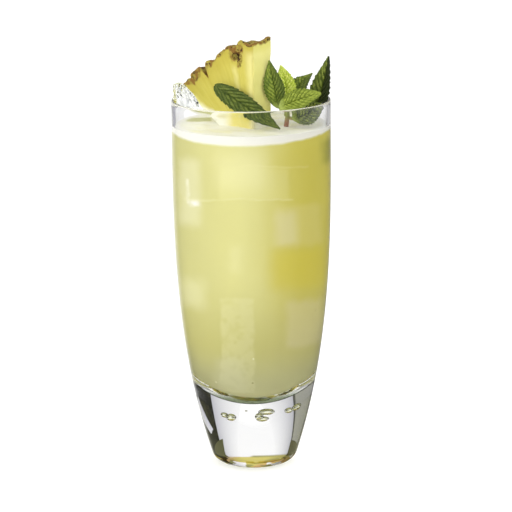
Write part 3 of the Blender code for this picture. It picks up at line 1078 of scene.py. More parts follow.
@dataclass
class Filling:
    """The drink and the foam on it, both reaching just into the wall."""

    tumbler: Tumbler
    foam_top: float = 156.3 * MM
    depth_least: float = 1.0 * MM
    depth_extra: float = 2.1 * MM
    deep_side: float = math.radians(-104)
    creep: float = 0.5 * MM
    ripple: float = 0.25 * MM
    reach: float = 0.12 * MM
    blend: float = 12 * MM
    overlap: float = 0.05 * MM
    rings: int = 44
    inner_rings: int = 24
    under_rings: int = 12
    side_rows: int = 6

    def way_out(self, x: float, y: float) -> float:
        """Share of the way from the axis to the wall."""
        return min(1.0, math.hypot(x, y) / self.tumbler.cavity_radius(self.foam_top))

    def foam_floor(self, x: float, y: float) -> float:
        """Where the foam ends and the drink begins.

        Args:
            x: Place across.
            y: Place front to back.

        Returns:
            The height.
        """
        towards = max(0.0, math.cos(math.atan2(y, x) - self.deep_side))
        extra = self.depth_extra * self.way_out(x, y) * towards**1.5
        return self.foam_top - self.depth_least - extra

    def foam_surface(self, x: float, y: float) -> float:
        """The foam's top with its ripples and its creep up the wall.

        Args:
            x: Place across.
            y: Place front to back.

        Returns:
            The height.
        """
        share = self.way_out(x, y)
        ripple = math.sin(x * 260 + 0.7) * math.cos(y * 310 - 0.4) + 0.6 * math.sin((x + y) * 420)
        fine = noise.noise(Vector((x, y, 0)) * 700) * 0.10 * MM
        fine += noise.noise(Vector((x, y, 0.02)) * 2200) * 0.05 * MM
        rise = (self.ripple * ripple + fine) * (1 - share**6) + self.creep * share**10
        return self.foam_top + rise

    def build(self) -> None:
        """Makes both layers in place of their CAD nodes."""
        self.build_drink()
        self.build_foam()

    def build_drink(self) -> None:
        """Makes the drink."""
        top = self.foam_top - self.depth_least
        wall = list(reversed(self.tumbler.cavity_profile(top, self.reach)))
        lid = [(wall[0][0] * i / self.inner_rings, top) for i in range(self.inner_rings)]
        drink = turned("cloudy_drink", lid + wall, self.tumbler.turn_steps)
        bottom_of_blend = top - self.blend

        def settle(spot: Vector) -> Vector:
            """Lowers the top of the drink to the underside of the foam.

            Args:
                spot: Place in the turned piece.

            Returns:
                Place in the drink.
            """
            if spot.z <= bottom_of_blend:
                return spot
            share = (spot.z - bottom_of_blend) / (top - bottom_of_blend)
            drop = top - self.foam_floor(spot.x, spot.y)
            return Vector((spot.x, spot.y, spot.z - drop * share))

        shape(drink, settle)
        paint(drink, "under_foam", lambda spot: (self.foam_floor(spot.x, spot.y) - spot.z) / MM)
        smooth(drink)
        hand_over(drink, Slot.DRINK, DrinkFinish().build(), "drink")

    def build_foam(self) -> None:
        """Makes the foam layer."""
        radius = self.tumbler.cavity_radius(self.foam_top) + self.reach
        high, low = self.foam_top + self.blend, self.foam_top - self.blend
        top = [(radius * i / self.rings, high) for i in range(self.rings + 1)]
        rows, rings = self.side_rows, self.under_rings
        sides = [(radius, high + (low - high) * i / rows) for i in range(1, rows)]
        under = [(radius * i / rings, low) for i in range(rings, -1, -1)]
        foam = turned("foam_layer", top + sides + under, self.tumbler.turn_steps)

        def lay(spot: Vector) -> Vector:
            """Puts the block's two ends onto the foam's top and underside.

            Args:
                spot: Place in the turned piece.

            Returns:
                Place in the foam.
            """
            share = (spot.z - low) / (high - low)
            floor = self.foam_floor(spot.x, spot.y) - self.overlap
            height = floor + (self.foam_surface(spot.x, spot.y) - floor) * share
            return Vector((spot.x, spot.y, height))

        shape(foam, lay)
        smooth(foam)
        hand_over(foam, Slot.FOAM, FoamFinish().build(), "foam")


# The garnish


@dataclass
class PineappleWedge:
    """A slice of about an eighth, rind up, its point in the drink."""

    point: Vector = field(default_factory=lambda: Vector((0.7, -13.0, 141.5)) * MM)
    turn: float = math.radians(-40)
    radius: float = 51 * MM
    inner_reach: float = 13.3 * MM
    thickness: float = 12 * MM
    right_angle: float = math.radians(-1)
    left_angle: float = math.radians(54)
    edge_rounding: float = 0.6 * MM
    relief: float = 0.35 * MM
    rind_depth: float = 0.7 * MM
    rind_fade: float = 0.6 * MM
    ripe_depth: float = 8 * MM
    foam_reach: float = 162.2 * MM
    foam_climb: float = 3.5 * MM
    # Where the cut goes through a whole scale: angle, half width, extra depth in mm
    deep_scales: Sequence[tuple[float, float, float]] = (
        (44.0, 6.0, 3.4),
        (31.5, 2.8, 2.4),
        (21.5, 2.5, 0.9),
    )
    # Pale streaks in the face: angle, half width, from and to in mm from the core, share
    streaks: Sequence[tuple[float, float, float, float, float]] = (
        (1.2, 3.4, 20.0, 49.0, 0.42),
        (14.0, 2.0, 30.0, 44.0, 0.30),
        (53.4, 2.0, 10.0, 44.0, 0.60),
    )
    # Scales and clefts of the rind: angle, half width, height in mm
    scales: Sequence[tuple[float, float, float]] = (
        (-1.0, 5.0, 4.4),
        (4.0, 0.5, -0.6),
        (8.2, 3.5, 3.9),
        (15.8, 3.6, 2.1),
        (19.4, 0.7, -0.9),
        (23.2, 2.2, 0.5),
        (28.0, 2.8, -2.3),
        (33.8, 1.6, -1.2),
        (37.0, 1.2, -5.6),
        (43.4, 3.4, 0.8),
        (47.8, 0.8, -1.4),
        (51.6, 2.2, 0.7),
    )
    # Scales that stand higher at one face: row, then share of its height at the near and far face
    lean: Sequence[tuple[int, float, float]] = ((0, 0.55, 1.0), (2, 1.0, 0.5))
    eye_fall: float = 0.19
    eye_lean: float = math.radians(35)
    # Eyes in the near face: angle, distance from the point, width, height and depth in mm
    eyes: Sequence[tuple[float, float, float, float, float]] = (
        (11.0, 48.0, 5.6, 4.2, 30),
        (9.2, 43.8, 1.4, 2.8, 2.4),
    )
    columns: int = 150
    rows: int = 84
    layers: int = 26

    def axes(self) -> Matrix:
        """Turns the slice's own axes (across, up, into the slice) to the glass's.

        Returns:
            The turn.
        """
        across = Vector((math.cos(self.turn), math.sin(self.turn), 0))
        inward = Vector((-math.sin(self.turn), math.cos(self.turn), 0))
        return Matrix((across, (0, 0, 1), inward)).transposed()

    def rind_radius(self, angle: float, into: float) -> float:
        """The rind's radius.

        Args:
            angle: Angle from upright.
            into: Share of the way into the slice.

        Returns:
            The radius.
        """
        radius = self.radius
        skew = 2.4 * (into - 0.5)
        leaning = {row: (near, far) for row, near, far in self.lean}
        for index, (middle, half_width, height) in enumerate(self.scales):
            swell = 0.85 + 0.15 * math.cos(math.tau * (into - 0.15 - 0.37 * index))
            near, far = leaning.get(index, (1, 1))
            swell *= near * (1 - into) + far * into
            offset = (math.degrees(angle) - middle - skew * (-1) ** index) / half_width
            radius += height * MM * swell * math.exp(-(offset**2))
        return radius

    def build(self) -> None:
        """Makes the wedge in place of its CAD node."""
        wedge = unit_block("pineapple_slice", self.columns, self.rows, self.layers)
        own = [vertex.co.copy() for vertex in wedge.data.vertices]
        axes = self.axes()

        def place(spot: Vector) -> Vector:
            """Lays the block out as a slice: x along the rind, y out from the core, z into it.

            Args:
                spot: Place in the unit block.

            Returns:
                Place in the slice.
            """
            angle = self.left_angle + (self.right_angle - self.left_angle) * spot.x
            outer = self.rind_radius(angle, spot.z)
            reach = self.inner_reach + (outer - self.inner_reach) * spot.y
            near_side = min(spot.x, 1 - spot.x) * reach * (self.left_angle - self.right_angle)
            near_face = min(spot.z, 1 - spot.z) * self.thickness
            on_face, on_side = spot.z in (0.0, 1.0), spot.x in (0.0, 1.0)
            if on_face and spot.y > 0.98:
                reach -= self.edge_rounding
            across, up = -reach * math.sin(angle), reach * math.cos(angle)
            grain = noise.noise(Vector((spot.x * 26, spot.y * 3, spot.z * 3)))
            pits = noise.noise(Vector((spot.x * 60, spot.y * 16, spot.z * 12)))
            flat = (0.12 * grain + 0.06 * pits) * MM
            depth = spot.z * self.thickness
            if on_face:
                edge = self.relief if near_side < self.edge_rounding / 2 else 0
                depth += (flat + edge) * (1 if spot.z == 0 else -1)
            if on_side:
                side = 1 if spot.x == 1.0 else -1
                wave = self.relief * math.sin(reach / MM * 0.45 + 3 * spot.z + side)
                along = Vector((math.cos(angle), math.sin(angle))) * side
                push = wave * math.sin(math.pi * spot.y) + flat
                across, up = across + along.x * push, up + along.y * push
            if spot.y == 1.0 and near_face > 0:
                bumps = noise.noise(Vector((angle * 90, spot.z * 9, 0))) * self.relief
                across, up = across - bumps * math.sin(angle), up + bumps * math.cos(angle)
            return self.point + axes @ Vector((across, up, depth))

        for vertex, spot in zip(wedge.data.vertices, own):
            vertex.co = place(spot)
        wedge.data.update()
        self.paint_zones(wedge, own)
        wedge.data.materials.append(PineappleFinish().build())
        wedge.data.materials.append(EyeFinish().build())
        for eye in self.eyes:
            self.cut_eye(wedge, eye, axes)
        smooth(wedge, RUGGED_EDGE)
        hand_over(wedge, Slot.PINEAPPLE, None, "pineapple_wedge")

    def paint_zones(self, wedge: bpy.types.Object, own: Sequence[Vector]) -> None:
        """Stores how much rind, core, ripe flesh and cut side there is on each vertex.

        Args:
            wedge: The shaped slice.
            own: Each vertex's place in the unit block.
        """
        numbers = {name: [] for name in ("rind", "cut_side", "ripe", "core", "streak")}
        for vertex, spot in zip(wedge.data.vertices, own):
            angle = math.degrees(self.left_angle + (self.right_angle - self.left_angle) * spot.x)
            reach = self.inner_reach + (self.radius - self.inner_reach) * spot.y
            depth = self.radius - reach
            ragged = noise.noise(Vector((spot.x * 30, spot.y * 8, spot.z * 6)))
            skin = self.rind_depth
            for middle, half_width, extra in self.deep_scales:
                skin += extra * MM * math.exp(-(((angle - middle) / half_width) ** 4))
            rind = 1 - clamped((depth - skin) / self.rind_fade + ragged)
            for eye_angle, eye_reach, width, height, _ in self.eyes:
                out = Vector((math.radians(angle - eye_angle) * reach / MM, reach / MM - eye_reach))
                out = Vector((out.x / (width / 2 + 1.0), out.y / (height / 2 + 1.0)))
                ring = 1.5 * noise.noise(Vector((spot.x * 34, spot.y * 14, 3.0)))
                rind = max(rind, clamped((1.25 - out.length + 0.3 * ring) / 0.35))
            ripe = 0.8 * math.exp(-((depth / self.ripe_depth) ** 2))
            foamy = self.foam_reach + self.foam_climb * clamped((-vertex.co.x - 0.015) / 0.006)
            foamy += 1.2 * MM * noise.noise(vertex.co * 320)
            core = clamped((foamy - vertex.co.z) / 0.003)
            streak = 0.0
            for middle, half_width, low, high, share in self.streaks:
                inside = clamped(min(reach / MM - low, high - reach / MM) / 3)
                wander = 0.8 * noise.noise(Vector((reach / MM * 0.35, middle, spot.z * 2)))
                off = (angle - middle + wander) / half_width
                streak = max(streak, share * inside * math.exp(-(off**2)))
            cut_side = 0.85 if spot.x > 0.999 else 0.0
            found = (1.0 if spot.y > 0.995 else rind, cut_side, ripe, core, streak)
            for values, value in zip(numbers.values(), found):
                values.append(value)
        for name, values in numbers.items():
            store(wedge, name, values)

    def cut_eye(self, wedge: bpy.types.Object, eye: Sequence[float], axes: Matrix) -> None:
        """Cuts one of the fruit's eyes into the slice's face.

        Args:
            wedge: The slice.
            eye: Angle, distance from the point, width, height and depth in mm.
            axes: The slice's axes.
        """
        angle, reach, width, height, depth = eye
        angle = math.radians(angle)
        select_only(None)
        bpy.ops.mesh.primitive_uv_sphere_add(segments=28, ring_count=16, radius=1)
        cutter = named_active("eye_cutter")
        middle = Vector((-reach * math.sin(angle), reach * math.cos(angle), 0)) * MM
        lean = Matrix.Rotation(self.eye_lean, 3, "Z")

        def place(spot: Vector) -> Vector:
            """Stretches the sphere into a ragged leaning hole.

            Args:
                spot: Place on the unit sphere.

            Returns:
                Place on the cutter.
            """
            ragged = (1 + 0.22 * noise.noise(spot * 2.4)) / 2
            shaped = Vector((spot.x * width * ragged, spot.y * height * ragged, spot.z * depth))
            shaped = lean @ shaped
            shaped.x += shaped.z * math.tan(self.turn)
            shaped.y -= shaped.z * self.eye_fall
            return self.point + axes @ (middle + shaped * MM)

        shape(cutter, place)
        for finish in wedge.data.materials:
            cutter.data.materials.append(finish)
        cutter.data.polygons.foreach_set("material_index", [1] * len(cutter.data.polygons))
        cut_away(wedge, cutter)


@dataclass(frozen=True)
class LeafForm:
    """Where one mint leaf lies, and its form, as in the CAD source (millimetres)."""

    node: str
    base: Sequence[float]
    tip: Sequence[float]
    looks: Sequence[float]
    width: float
    bow: float
    arch: float
    fold: float
    wave: float
    blunt: float
    finish: str
    teeth: int = 13


@dataclass
class MintSprig:
    """The mint: a stem with leaves on all sides, and one leaf laid across the wedge."""

    stem_radius: float = 1.1 * MM
    stem_route: Sequence[Sequence[float]] = (
        (14.6, -8.6, 149),
        (15.5, -8.4, 156),
        (16.6, -7.2, 163.2),
    )
    stem_taper: Range = (1.15, 0.85)
    stalk_taper: Range = (0.62, 0.42)
    stalk_reach: float = 14.0
    stalk_drop: float = 2.6
    stalk_sag: float = 0.6
    stalk_overlap: float = 1.2
    tooth_depth: float = 0.16
    tube_steps: int = 24
    thickness: float = 0.5 * MM
    length_cells: int = 130
    width_cells: int = 56
    veins: int = 10
    # Lit and shaded copies of one mint green: each leaf is painted lighter or darker for the light
    # that falls on it, the backlit one palest, the half-shaded one with painted shade over half its
    # blade.
    finishes: Sequence[LeafFinish] = (
        LeafFinish(
            "mint leaf deep", (0.024, 0.042, 0.005), (0.075, 0.110, 0.014), (0.15, 0.19, 0.028)
        ),
        LeafFinish(
            "mint leaf mid", (0.052, 0.090, 0.010), (0.14, 0.20, 0.024), (0.30, 0.37, 0.05), 0.40
        ),
        LeafFinish("mint leaf backlit", (0.26, 0.36, 0.035), (0.60, 0.72, 0.085), (0.85, 0.92, 0.20)),
        LeafFinish(
            "mint leaf half shaded", (0.032, 0.052, 0.005), (0.10, 0.14, 0.016), (0.24, 0.29, 0.04),
            0.94, (0.016, 0.026, 0.004),
        ),
        LeafFinish(
            "mint leaf front", (0.085, 0.125, 0.012), (0.20, 0.255, 0.026), (0.34, 0.41, 0.055)
        ),
        LeafFinish(
            "mint leaf low", (0.028, 0.046, 0.005), (0.09, 0.125, 0.014), (0.26, 0.31, 0.05)
        ),
    )
    leaves: Sequence[LeafForm] = (
        LeafForm(
            "mint_leaf_left", (12.2, -7.4, 164.9), (8.3, -7.6, 186.3), (-0.20, -0.97, 0.10), 9.2,
            0.4, 1.5, 0.22, 0.5, 0.9, "mint leaf mid",
        ),
        LeafForm(
            "mint_leaf_middle", (16.2, -3.6, 166.0), (13.6, 1.0, 182.8), (0.10, -0.95, 0.25), 8.8,
            0.6, 1.2, 0.25, 0.4, 0.9, "mint leaf backlit",
        ),
        LeafForm(
            "mint_leaf_back", (17.2, 1.4, 166.4), (27.8, 12.0, 177.4), (-0.25, -0.60, 0.75), 9.0,
            -0.4, 1.0, 0.25, 0.4, 0.8, "mint leaf mid",
        ),
        LeafForm(
            "mint_leaf_right", (26.2, -3.4, 157.4), (35.0, 0.6, 186.8), (-0.45, -0.85, 0.10), 9.8,
            0.8, -1.4, 0.50, 0.5, 1.0, "mint leaf half shaded",
        ),
        LeafForm(
            "mint_leaf_front", (12.8, -12.2, 165.8), (31.2, -13.4, 172.4), (-0.15, -0.84, 0.50),
            9.8, 0.0, 1.4, 0.18, 0.5, 1.5, "mint leaf front",
        ),
        LeafForm(
            "mint_leaf_low", (18.6, -10.2, 160.2), (31.8, -8.6, 166.8), (0.10, -0.92, 0.35), 10.2,
            0.8, 1.2, 0.20, 0.4, 1.3, "mint leaf low",
        ),
        LeafForm(
            "mint_leaf_across", (-16.0, -5.8, 175.0), (12.6, -21.6, 158.0), (-0.30, -0.88, 0.35),
            9.2, 0.0, 1.6, 0.16, 0.6, 2.4, "mint leaf deep",
        ),
    )

    def build(self) -> None:
        """Makes every leaf and the stem in place of their CAD nodes."""
        built = {finish.name: finish.build() for finish in self.finishes}
        for form in self.leaves:
            self.build_leaf(form, built[form.finish])
        self.build_stem()

    @staticmethod
    def half_width(share: float, form: LeafForm) -> float:
        """Half the leaf's width.

        Args:
            share: Share of the way from base to tip.
            form: The leaf's form.

        Returns:
            The width in metres.
        """
        pointed = 1 + 0.9 * max(0.0, form.blunt - 1.6) * share**3
        body = math.sin(math.pi * share**0.8) ** (0.9 / math.sqrt(form.blunt) * pointed)
        return max(0.05, body) * form.width * MM / 2

    def quilting(self, share: float, across: float) -> float:
        """Height of the blade between its sunken veins, from 0 to 1.

        Args:
            share: Share of the way from base to tip.
            across: Place across the blade, from -1 to 1.

        Returns:
            The height.
        """
        wide = abs(across)
        wander = 0.22 * noise.noise(Vector((share * 9, across * 4, 0.3)))
        phase = self.veins * (share - 0.26 * wide**1.15) + (0.5 if across > 0 else 0.0) + wander
        ridge = abs(math.sin(math.pi * phase))
        midrib = math.exp(-((wide / 0.06) ** 2))
        puffs = 0.72 + 0.28 * abs(math.sin(math.pi * (3.1 * wide + 0.37 * math.floor(phase))))
        return ridge**0.7 * puffs * (1 - 0.6 * wide**5) * (1 - midrib)

    def build_leaf(self, form: LeafForm, finish: bpy.types.Material) -> None:
        """Makes one leaf from a flat grid.

        Args:
            form: Its place and form.
            finish: Its material.
        """
        name = form.node.replace("mint_leaf", "leaf")
        leaf = unit_grid(name, self.length_cells, self.width_cells)
        base, tip = Vector(form.base) * MM, Vector(form.tip) * MM
        along = tip - base
        face = Vector(form.looks).normalized()
        face = (face - along.normalized() * face.dot(along.normalized())).normalized()
        side = along.normalized().cross(face).normalized()
        seed = sum(form.base)
        green_base = 0.8 if self.on_stem(form) else 0.0
        puffs, sides, bases = [], [], []
        for vertex in leaf.data.vertices:
            share, across = vertex.co.x, vertex.co.y * 2 - 1
            half = self.half_width(share, form)
            swell = math.sin(math.pi * share)
            tooth = (share * form.teeth + (0.4 if across > 0 else 0.0)) % 1.0
            half *= 1 + self.tooth_depth * (tooth - 0.6) * abs(across) ** 7 * swell**0.4
            height = self.quilting(share, across)
            fine = noise.noise(Vector((share * 30, across * 9, seed)))
            rise = form.arch * MM * swell + form.fold * half * abs(across)
            turn = share * 3.2 * math.pi + (0.6 if across > 0 else 2.1)
            rise += form.wave * MM * across**2 * math.sin(turn)
            rise += (0.80 * height + 0.12 * fine - 0.35) * MM * swell**0.5
            middle = form.bow * MM * swell
            vertex.co = base + along * share + side * (across * half + middle) + face * rise
            puffs.append(height)
            sides.append(across)
            bases.append(green_base * max(0.0, 1 - share / 0.16))
        store(leaf, "puff", puffs)
        store(leaf, "side", sides)
        store(leaf, "near_base", bases)
        apply_modifier(leaf, "SOLIDIFY", thickness=self.thickness, offset=0)
        merge_and_orient(leaf)
        smooth(leaf)
        hand_over(leaf, Slot.LEAF, finish, form.node)

    def on_stem(self, form: LeafForm) -> bool:
        """True for a leaf that a short stalk joins to the stem's top."""
        return (Vector(form.base) - Vector(self.stem_route[-1])).length < self.stalk_reach

    def build_stem(self) -> None:
        """Makes the stem and the stalks from a beveled curve."""
        select_only(None)
        bpy.ops.curve.primitive_nurbs_path_add(radius=1)
        stem = bpy.context.active_object
        stem.location = (0, 0, 0)
        curve = stem.data
        curve.splines.clear()
        curve.bevel_depth = self.stem_radius
        curve.bevel_resolution = 6
        curve.use_fill_caps = True
        top = Vector(self.stem_route[-1])
        self.lay_tube(curve, self.stem_route, self.stem_taper)
        low = top - Vector((0, 0, self.stalk_drop))
        for form in filter(self.on_stem, self.leaves):
            base, tip = Vector(form.base), Vector(form.tip)
            inner = base + (tip - base).normalized() * self.stalk_overlap
            bend = (low + base) / 2 - Vector((0, 0, self.stalk_sag))
            self.lay_tube(curve, (low, bend, inner), self.stalk_taper)
        select_only(stem)
        bpy.ops.object.convert(target="MESH")
        stem = named_active("stem")
        merge_and_orient(stem)
        smooth(stem)
        hand_over(stem, Slot.STEM, StemFinish().build(), "mint_stem")

    def lay_tube(
        self, curve: bpy.types.Curve, route: Sequence[Sequence[float]], taper: Range
    ) -> None:
        """Adds a bent tube to a curve.

        Args:
            curve: The curve.
            route: Start, bend and end in mm.
            taper: Share of the curve's bevel at the start and at the end.
        """
        steps, (first, last) = self.tube_steps, taper
        spline = curve.splines.new("POLY")
        spline.points.add(steps)
        start, middle, end = (Vector(point) * MM for point in route)
        for i in range(steps + 1):
            share = i / steps
            spot = start * (1 - share) ** 2 + middle * 2 * share * (1 - share) + end * share**2
            spline.points[i].co = (*spot, 1)
            spline.points[i].radius = first + (last - first) * share


@dataclass
class IceChunk:
    """The clear lump of ice between the wedge's left end and the glass."""

    middle: Vector = field(default_factory=lambda: Vector((-28.0, 0.8, 169.4)) * MM)
    size: Vector = field(default_factory=lambda: Vector((9.6, 6.4, 12.2)) * MM)
    top_shift: float = -4.0 * MM
    turn: float = math.radians(-24)

    def build(self) -> None:
        """Makes the ice in place of its CAD node."""
        ice = unit_block("clear_ice", 24, 24, 48)
        turn = Matrix.Rotation(self.turn, 3, "Z")

        def place(spot: Vector) -> Vector:
            """Wears the block down to a lump with hollows.

            Args:
                spot: Place in the unit block.

            Returns:
                Place in the lump.
            """
            spot = spot - Vector((0.5, 0.5, 0.5))
            worn = spot * (1 - 0.45 * max(0.0, spot.length - 0.55))
            narrow = 1 - 0.6 * (spot.z + 0.5) ** 2 + 0.1 * math.sin(9 * spot.y + 5 * spot.x)
            lumps = 1 + 0.16 * noise.noise(spot * 4.5) + 0.07 * noise.noise(spot * 11)
            shaped = Vector((worn.x * self.size.x, worn.y * self.size.y, 0)) * narrow * lumps
            shaped.z = worn.z * self.size.z
            return self.middle + turn @ shaped + Vector((self.top_shift * (spot.z + 0.5), 0, 0))

        shape(ice, place)
        merge_and_orient(ice)
        smooth(ice, RUGGED_EDGE)
        hand_over(ice, Slot.ICE, IceFinish().build(), "ice_chunk")


# The studio


@dataclass(frozen=True)
class Card:
    """A bent glowing sheet near the glass, seen through the glass alone, that lights nothing and
    paints the light and shade of the glass's edges.

    Its four corners are (degrees from +Y towards +X, height in mm): the two lower ones, then the
    two upper ones the same way round. Its colour runs from one side to the other.
    """

    name: str
    corners: Sequence[tuple[float, float]]
    near: Colour
    far: Colour

    def build(self, radius: float) -> None:
        """Makes the card round the drink's axis.

        Args:
            radius: How far from the axis it stands.
        """
        card = unit_grid("card_" + self.name, 32, 4)
        paint(card, "across", lambda spot: spot.x)
        lower_near, lower_far, upper_far, upper_near = (Vector(corner) for corner in self.corners)

        def stand(spot: Vector) -> Vector:
            """Bends the card round the drink.

            Args:
                spot: Place on the unit square.

            Returns:
                Place on the card.
            """
            lower = lower_near.lerp(lower_far, spot.x)
            place = lower.lerp(upper_near.lerp(upper_far, spot.x), spot.y)
            angle = math.radians(place.x)
            return Vector((math.sin(angle) * radius, math.cos(angle) * radius, place.y * MM))

        shape(card, stand)
        graph = Graph(card.name)
        colour = graph.mix(graph.attribute("across"), self.near, self.far)
        light = graph.node("Emission", {"Color": colour, "Strength": 1.0}).outputs[0]
        card.data.materials.append(graph.surface(light))
        card.visible_camera = card.visible_diffuse = False
        card.visible_glossy = card.visible_shadow = False


@dataclass
class Studio:
    """Pale floor, soft light, dark cards outside the view, and the photograph's camera."""

    camera_place: Vector = field(default_factory=lambda: Vector((0, -1.300, 0.381)))
    pitch: float = math.radians(12.375)
    roll: float = math.radians(-0.62)
    focal_pixels: float = 2932.3
    offset_pixels: float = -3.6
    frame_pixels: int = 512
    sensor: float = 36.0
    room_light: float = 1.03
    mirrored_light: float = 0.10
    light_in_front: float = 0.20
    # Directions between which the room's light changes: sideways, behind and in front
    sideways: Range = (0.15, -0.15)
    sideways_light: Range = (0.25, 0.95)
    strip_behind: Range = (0.72, 0.97)
    front_to_room: Range = (-0.55, -0.05)
    front_floor: Range = (-0.15, -0.35)
    # Lamps: name, place, side in metres, power in watts
    lamps: Sequence[tuple[str, Sequence[float], float, float]] = (
        ("key_left", (-1.5, -0.9, 1.2), 1.6, 19.0),
        ("fill_right", (1.5, -1.1, 0.8), 1.4, 5.0),
    )
    floor_glow: float = 0.15
    floor_side: float = 9.0
    floor_drop: float = 0.2 * MM
    floor_colour: Colour = (0.92, 0.92, 0.92)
    floor_seen_in_front: Colour = (0.08, 0.08, 0.08)
    card_radius: float = 60 * MM
    card_step: float = 0.3 * MM
    lamp_aim: Sequence[float] = (0, 0, 0.1)
    # The cards glow but light nothing and show only through the glass: painted light and shade for
    # the glass's edges, foot and rim.
    cards: Sequence[Card] = (
        Card(
            "left_soft", ((10, 0), (25.5, 0), (13.5, 46), (-2, 46)), (1, 1, 1), (0.52, 0.52, 0.57)
        ),
        Card(
            "left_band", ((24.5, 0), (90, 0), (90, 46), (12.1, 46)),
            (0.015, 0.015, 0.010), (0.03, 0.03, 0.022),
        ),
        Card(
            "left_streak", ((24.5, 20.5), (31.5, 20.5), (58, 36), (41, 36)),
            (0.66, 0.66, 0.76), (0.92, 0.92, 0.96),
        ),
        Card(
            "left_corner", ((24, 0), (90, 0), (90, 22), (16, 15)),
            (0.10, 0.10, 0.045), (0.20, 0.20, 0.10),
        ),
        Card("right_soft", ((-14, 0), (-34, 0), (-7, 40), (5, 40)), (1, 1, 1), (0.48, 0.48, 0.52)),
        Card(
            "right_grey", ((-33, 0), (-90, 0), (-90, 46), (-4, 46)),
            (0.36, 0.36, 0.31), (0.26, 0.26, 0.22),
        ),
        Card(
            "right_line", ((-33, 0), (-35, 0), (-8, 40), (-6, 40)),
            (0.07, 0.07, 0.06), (0.12, 0.12, 0.10),
        ),
        Card(
            "right_edge", ((-44, 0), (-90, 0), (-90, 46), (-42, 46)),
            (0.03, 0.03, 0.02), (0.03, 0.03, 0.02),
        ),
        Card(
            "right_corner", ((-26, 0), (-90, 0), (-90, 30), (-22, 15.5)),
            (0.09, 0.085, 0.04), (0.15, 0.15, 0.07),
        ),
        Card("left_fade", ((89, 0), (135, 0), (135, 46), (89, 46)), (0.06, 0.06, 0.05), (1, 1, 1)),
        Card(
            "right_fade", ((-89, 0), (-135, 0), (-135, 46), (-89, 46)),
            (0.12, 0.12, 0.10), (1, 1, 1),
        ),
        Card(
            "rim_left_soft", ((-38, 146), (-72, 146), (-72, 172), (-38, 172)),
            (0.95, 0.95, 0.98), (0.42, 0.42, 0.48),
        ),
        Card(
            "rim_left", ((-53, 146), (-61, 146), (-61, 172), (-53, 172)),
            (0.05, 0.05, 0.06), (0.05, 0.05, 0.06),
        ),
        Card(
            "rim_right_soft", ((40, 146), (75, 146), (75, 172), (40, 172)),
            (0.95, 0.95, 0.97), (0.35, 0.35, 0.34),
        ),
    )

    def build(self) -> None:
        """Makes the camera, the light, the floor and the cards."""
        self.build_camera()
        self.build_light()
        self.build_floor()
        for layer, card in enumerate(self.cards):
            card.build(self.card_radius - layer * self.card_step)

    def build_camera(self) -> None:
        """Sets the camera at the photograph's viewing angle."""
        select_only(None)
        bpy.ops.object.camera_add(location=self.camera_place)
        camera = bpy.context.active_object
        camera.name = "photo_camera"
        camera.data.sensor_width = self.sensor
        camera.data.lens = self.focal_pixels / self.frame_pixels * self.sensor
        camera.data.clip_start = 0.01
        yaw = Matrix.Rotation(math.atan(self.offset_pixels / self.focal_pixels), 3, "Z")
        tilt = Matrix.Rotation(math.pi / 2 - self.pitch, 3, "X")
        camera.rotation_euler = (yaw @ tilt @ Matrix.Rotation(self.roll, 3, "Z")).to_euler()
        bpy.context.scene.camera = camera

    def build_light(self) -> None:
        """Makes soft light all round and two lamps.

        What the glass mirrors is dark but for a strip behind it, and what is seen straight
        through it in front is dimmed, because a bright room would veil the drink.
        """
        scene = bpy.context.scene
        scene.view_settings.view_transform = "Standard"
        room = Graph("soft white room", room=True)
        generated = room.node("TexCoord").outputs["Generated"]
        toward = room.node("SeparateXYZ", {0: generated}).outputs
        names = ("From Min", "From Max", "To Min", "To Max")
        ends = dict(zip(names, self.sideways + self.sideways_light))
        lit_side = room.node("MapRange", {"Value": toward["X"], **ends}).outputs[0]
        behind = room.span(toward["Y"], *self.strip_behind, self.mirrored_light, lit_side)
        ahead = room.span(toward["Y"], *self.front_to_room, self.light_in_front, self.room_light)
        white, mirror_light, through_light = (
            room.node("Background", {"Color": (*WHITE, 1), "Strength": strength}).outputs[0]
            for strength in (self.room_light, behind, ahead)
        )
        straight = room.seen_straight_through()
        seen = room.node("MixShader", {0: straight, 1: white, 2: through_light}).outputs[0]
        rays = room.node("LightPath").outputs
        mirrored = room.math("GREATER_THAN", rays["Is Glossy Ray"], rays["Is Transmission Ray"])
        seen = room.node("MixShader", {0: mirrored, 1: seen, 2: mirror_light}).outputs[0]
        scene.world = room.surface(seen)
        for lamp in self.lamps:
            self.add_lamp(*lamp)

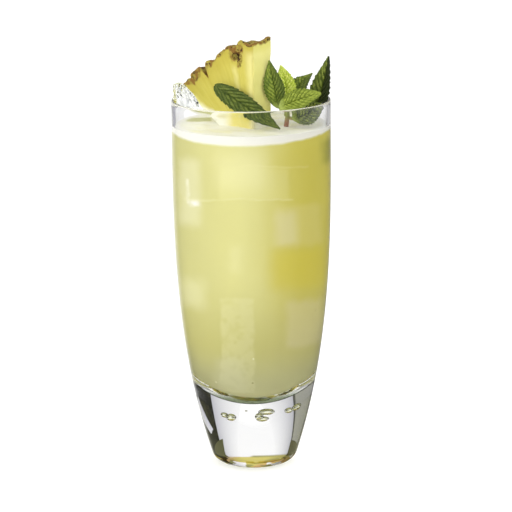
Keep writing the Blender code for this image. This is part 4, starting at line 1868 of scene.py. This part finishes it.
    def add_lamp(self, name: str, spot: Sequence[float], size: float, power: float) -> None:
        """Adds a square soft lamp that points at the drink.

        Args:
            name: Name of the lamp.
            spot: Its place.
            size: Its side in metres.
            power: Its power in watts.
        """
        select_only(None)
        aim = Vector(self.lamp_aim) - Vector(spot)
        turn = aim.to_track_quat("-Z", "Y").to_euler()
        bpy.ops.object.light_add(type="AREA", location=spot, rotation=turn)
        lamp = bpy.context.active_object
        lamp.name = name
        lamp.data.shape = "SQUARE"
        lamp.data.size = size
        lamp.data.energy = power

    def build_floor(self) -> None:
        """Makes the plain pale floor."""
        floor = unit_grid("floor", 4, 4)
        side, middle = self.floor_side, Vector((0.5, 0.35, 0))
        drop = Vector((0, 0, self.floor_drop))
        shape(floor, lambda spot: (spot - middle) * side - drop)
        graph = Graph("pale floor")
        # Seen straight through the glass from in front, the floor is painted dark: painted shade
        # that keeps the bright floor from veiling the drink.
        ahead = graph.span(graph.axis("Y"), *self.front_floor)
        veiling = graph.times(graph.seen_straight_through(), ahead)
        glow = graph.times(graph.math("SUBTRACT", 1.0, veiling), self.floor_glow)
        values = {
            "Base Color": graph.mix(veiling, self.floor_colour, self.floor_seen_in_front),
            "Roughness": 0.9,
            "Emission Color": (*WHITE, 1),
            "Emission Strength": glow,
        }
        floor.data.materials.append(graph.solid_body(values))
        floor.visible_glossy = False


def set_light_paths() -> None:
    """Lets light bounce often enough inside the thick glass, and cleans the picture's grain."""
    cycles = bpy.context.scene.cycles
    cycles.use_denoising = True
    cycles.max_bounces = 28
    cycles.glossy_bounces = 20
    cycles.transmission_bounces = 24
    cycles.transparent_max_bounces = 24


def main() -> None:
    """Builds the drink's looks piece by piece."""
    logging.basicConfig(level=logging.INFO, format="%(name)s %(message)s")
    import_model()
    select_only(None)
    Studio().build()
    tumbler = Tumbler()
    tumbler.build()
    AirBubbles().build()
    Filling(tumbler).build()
    PineappleWedge().build()
    MintSprig().build()
    IceChunk().build()
    set_light_paths()


if __name__ == "__main__":
    main()
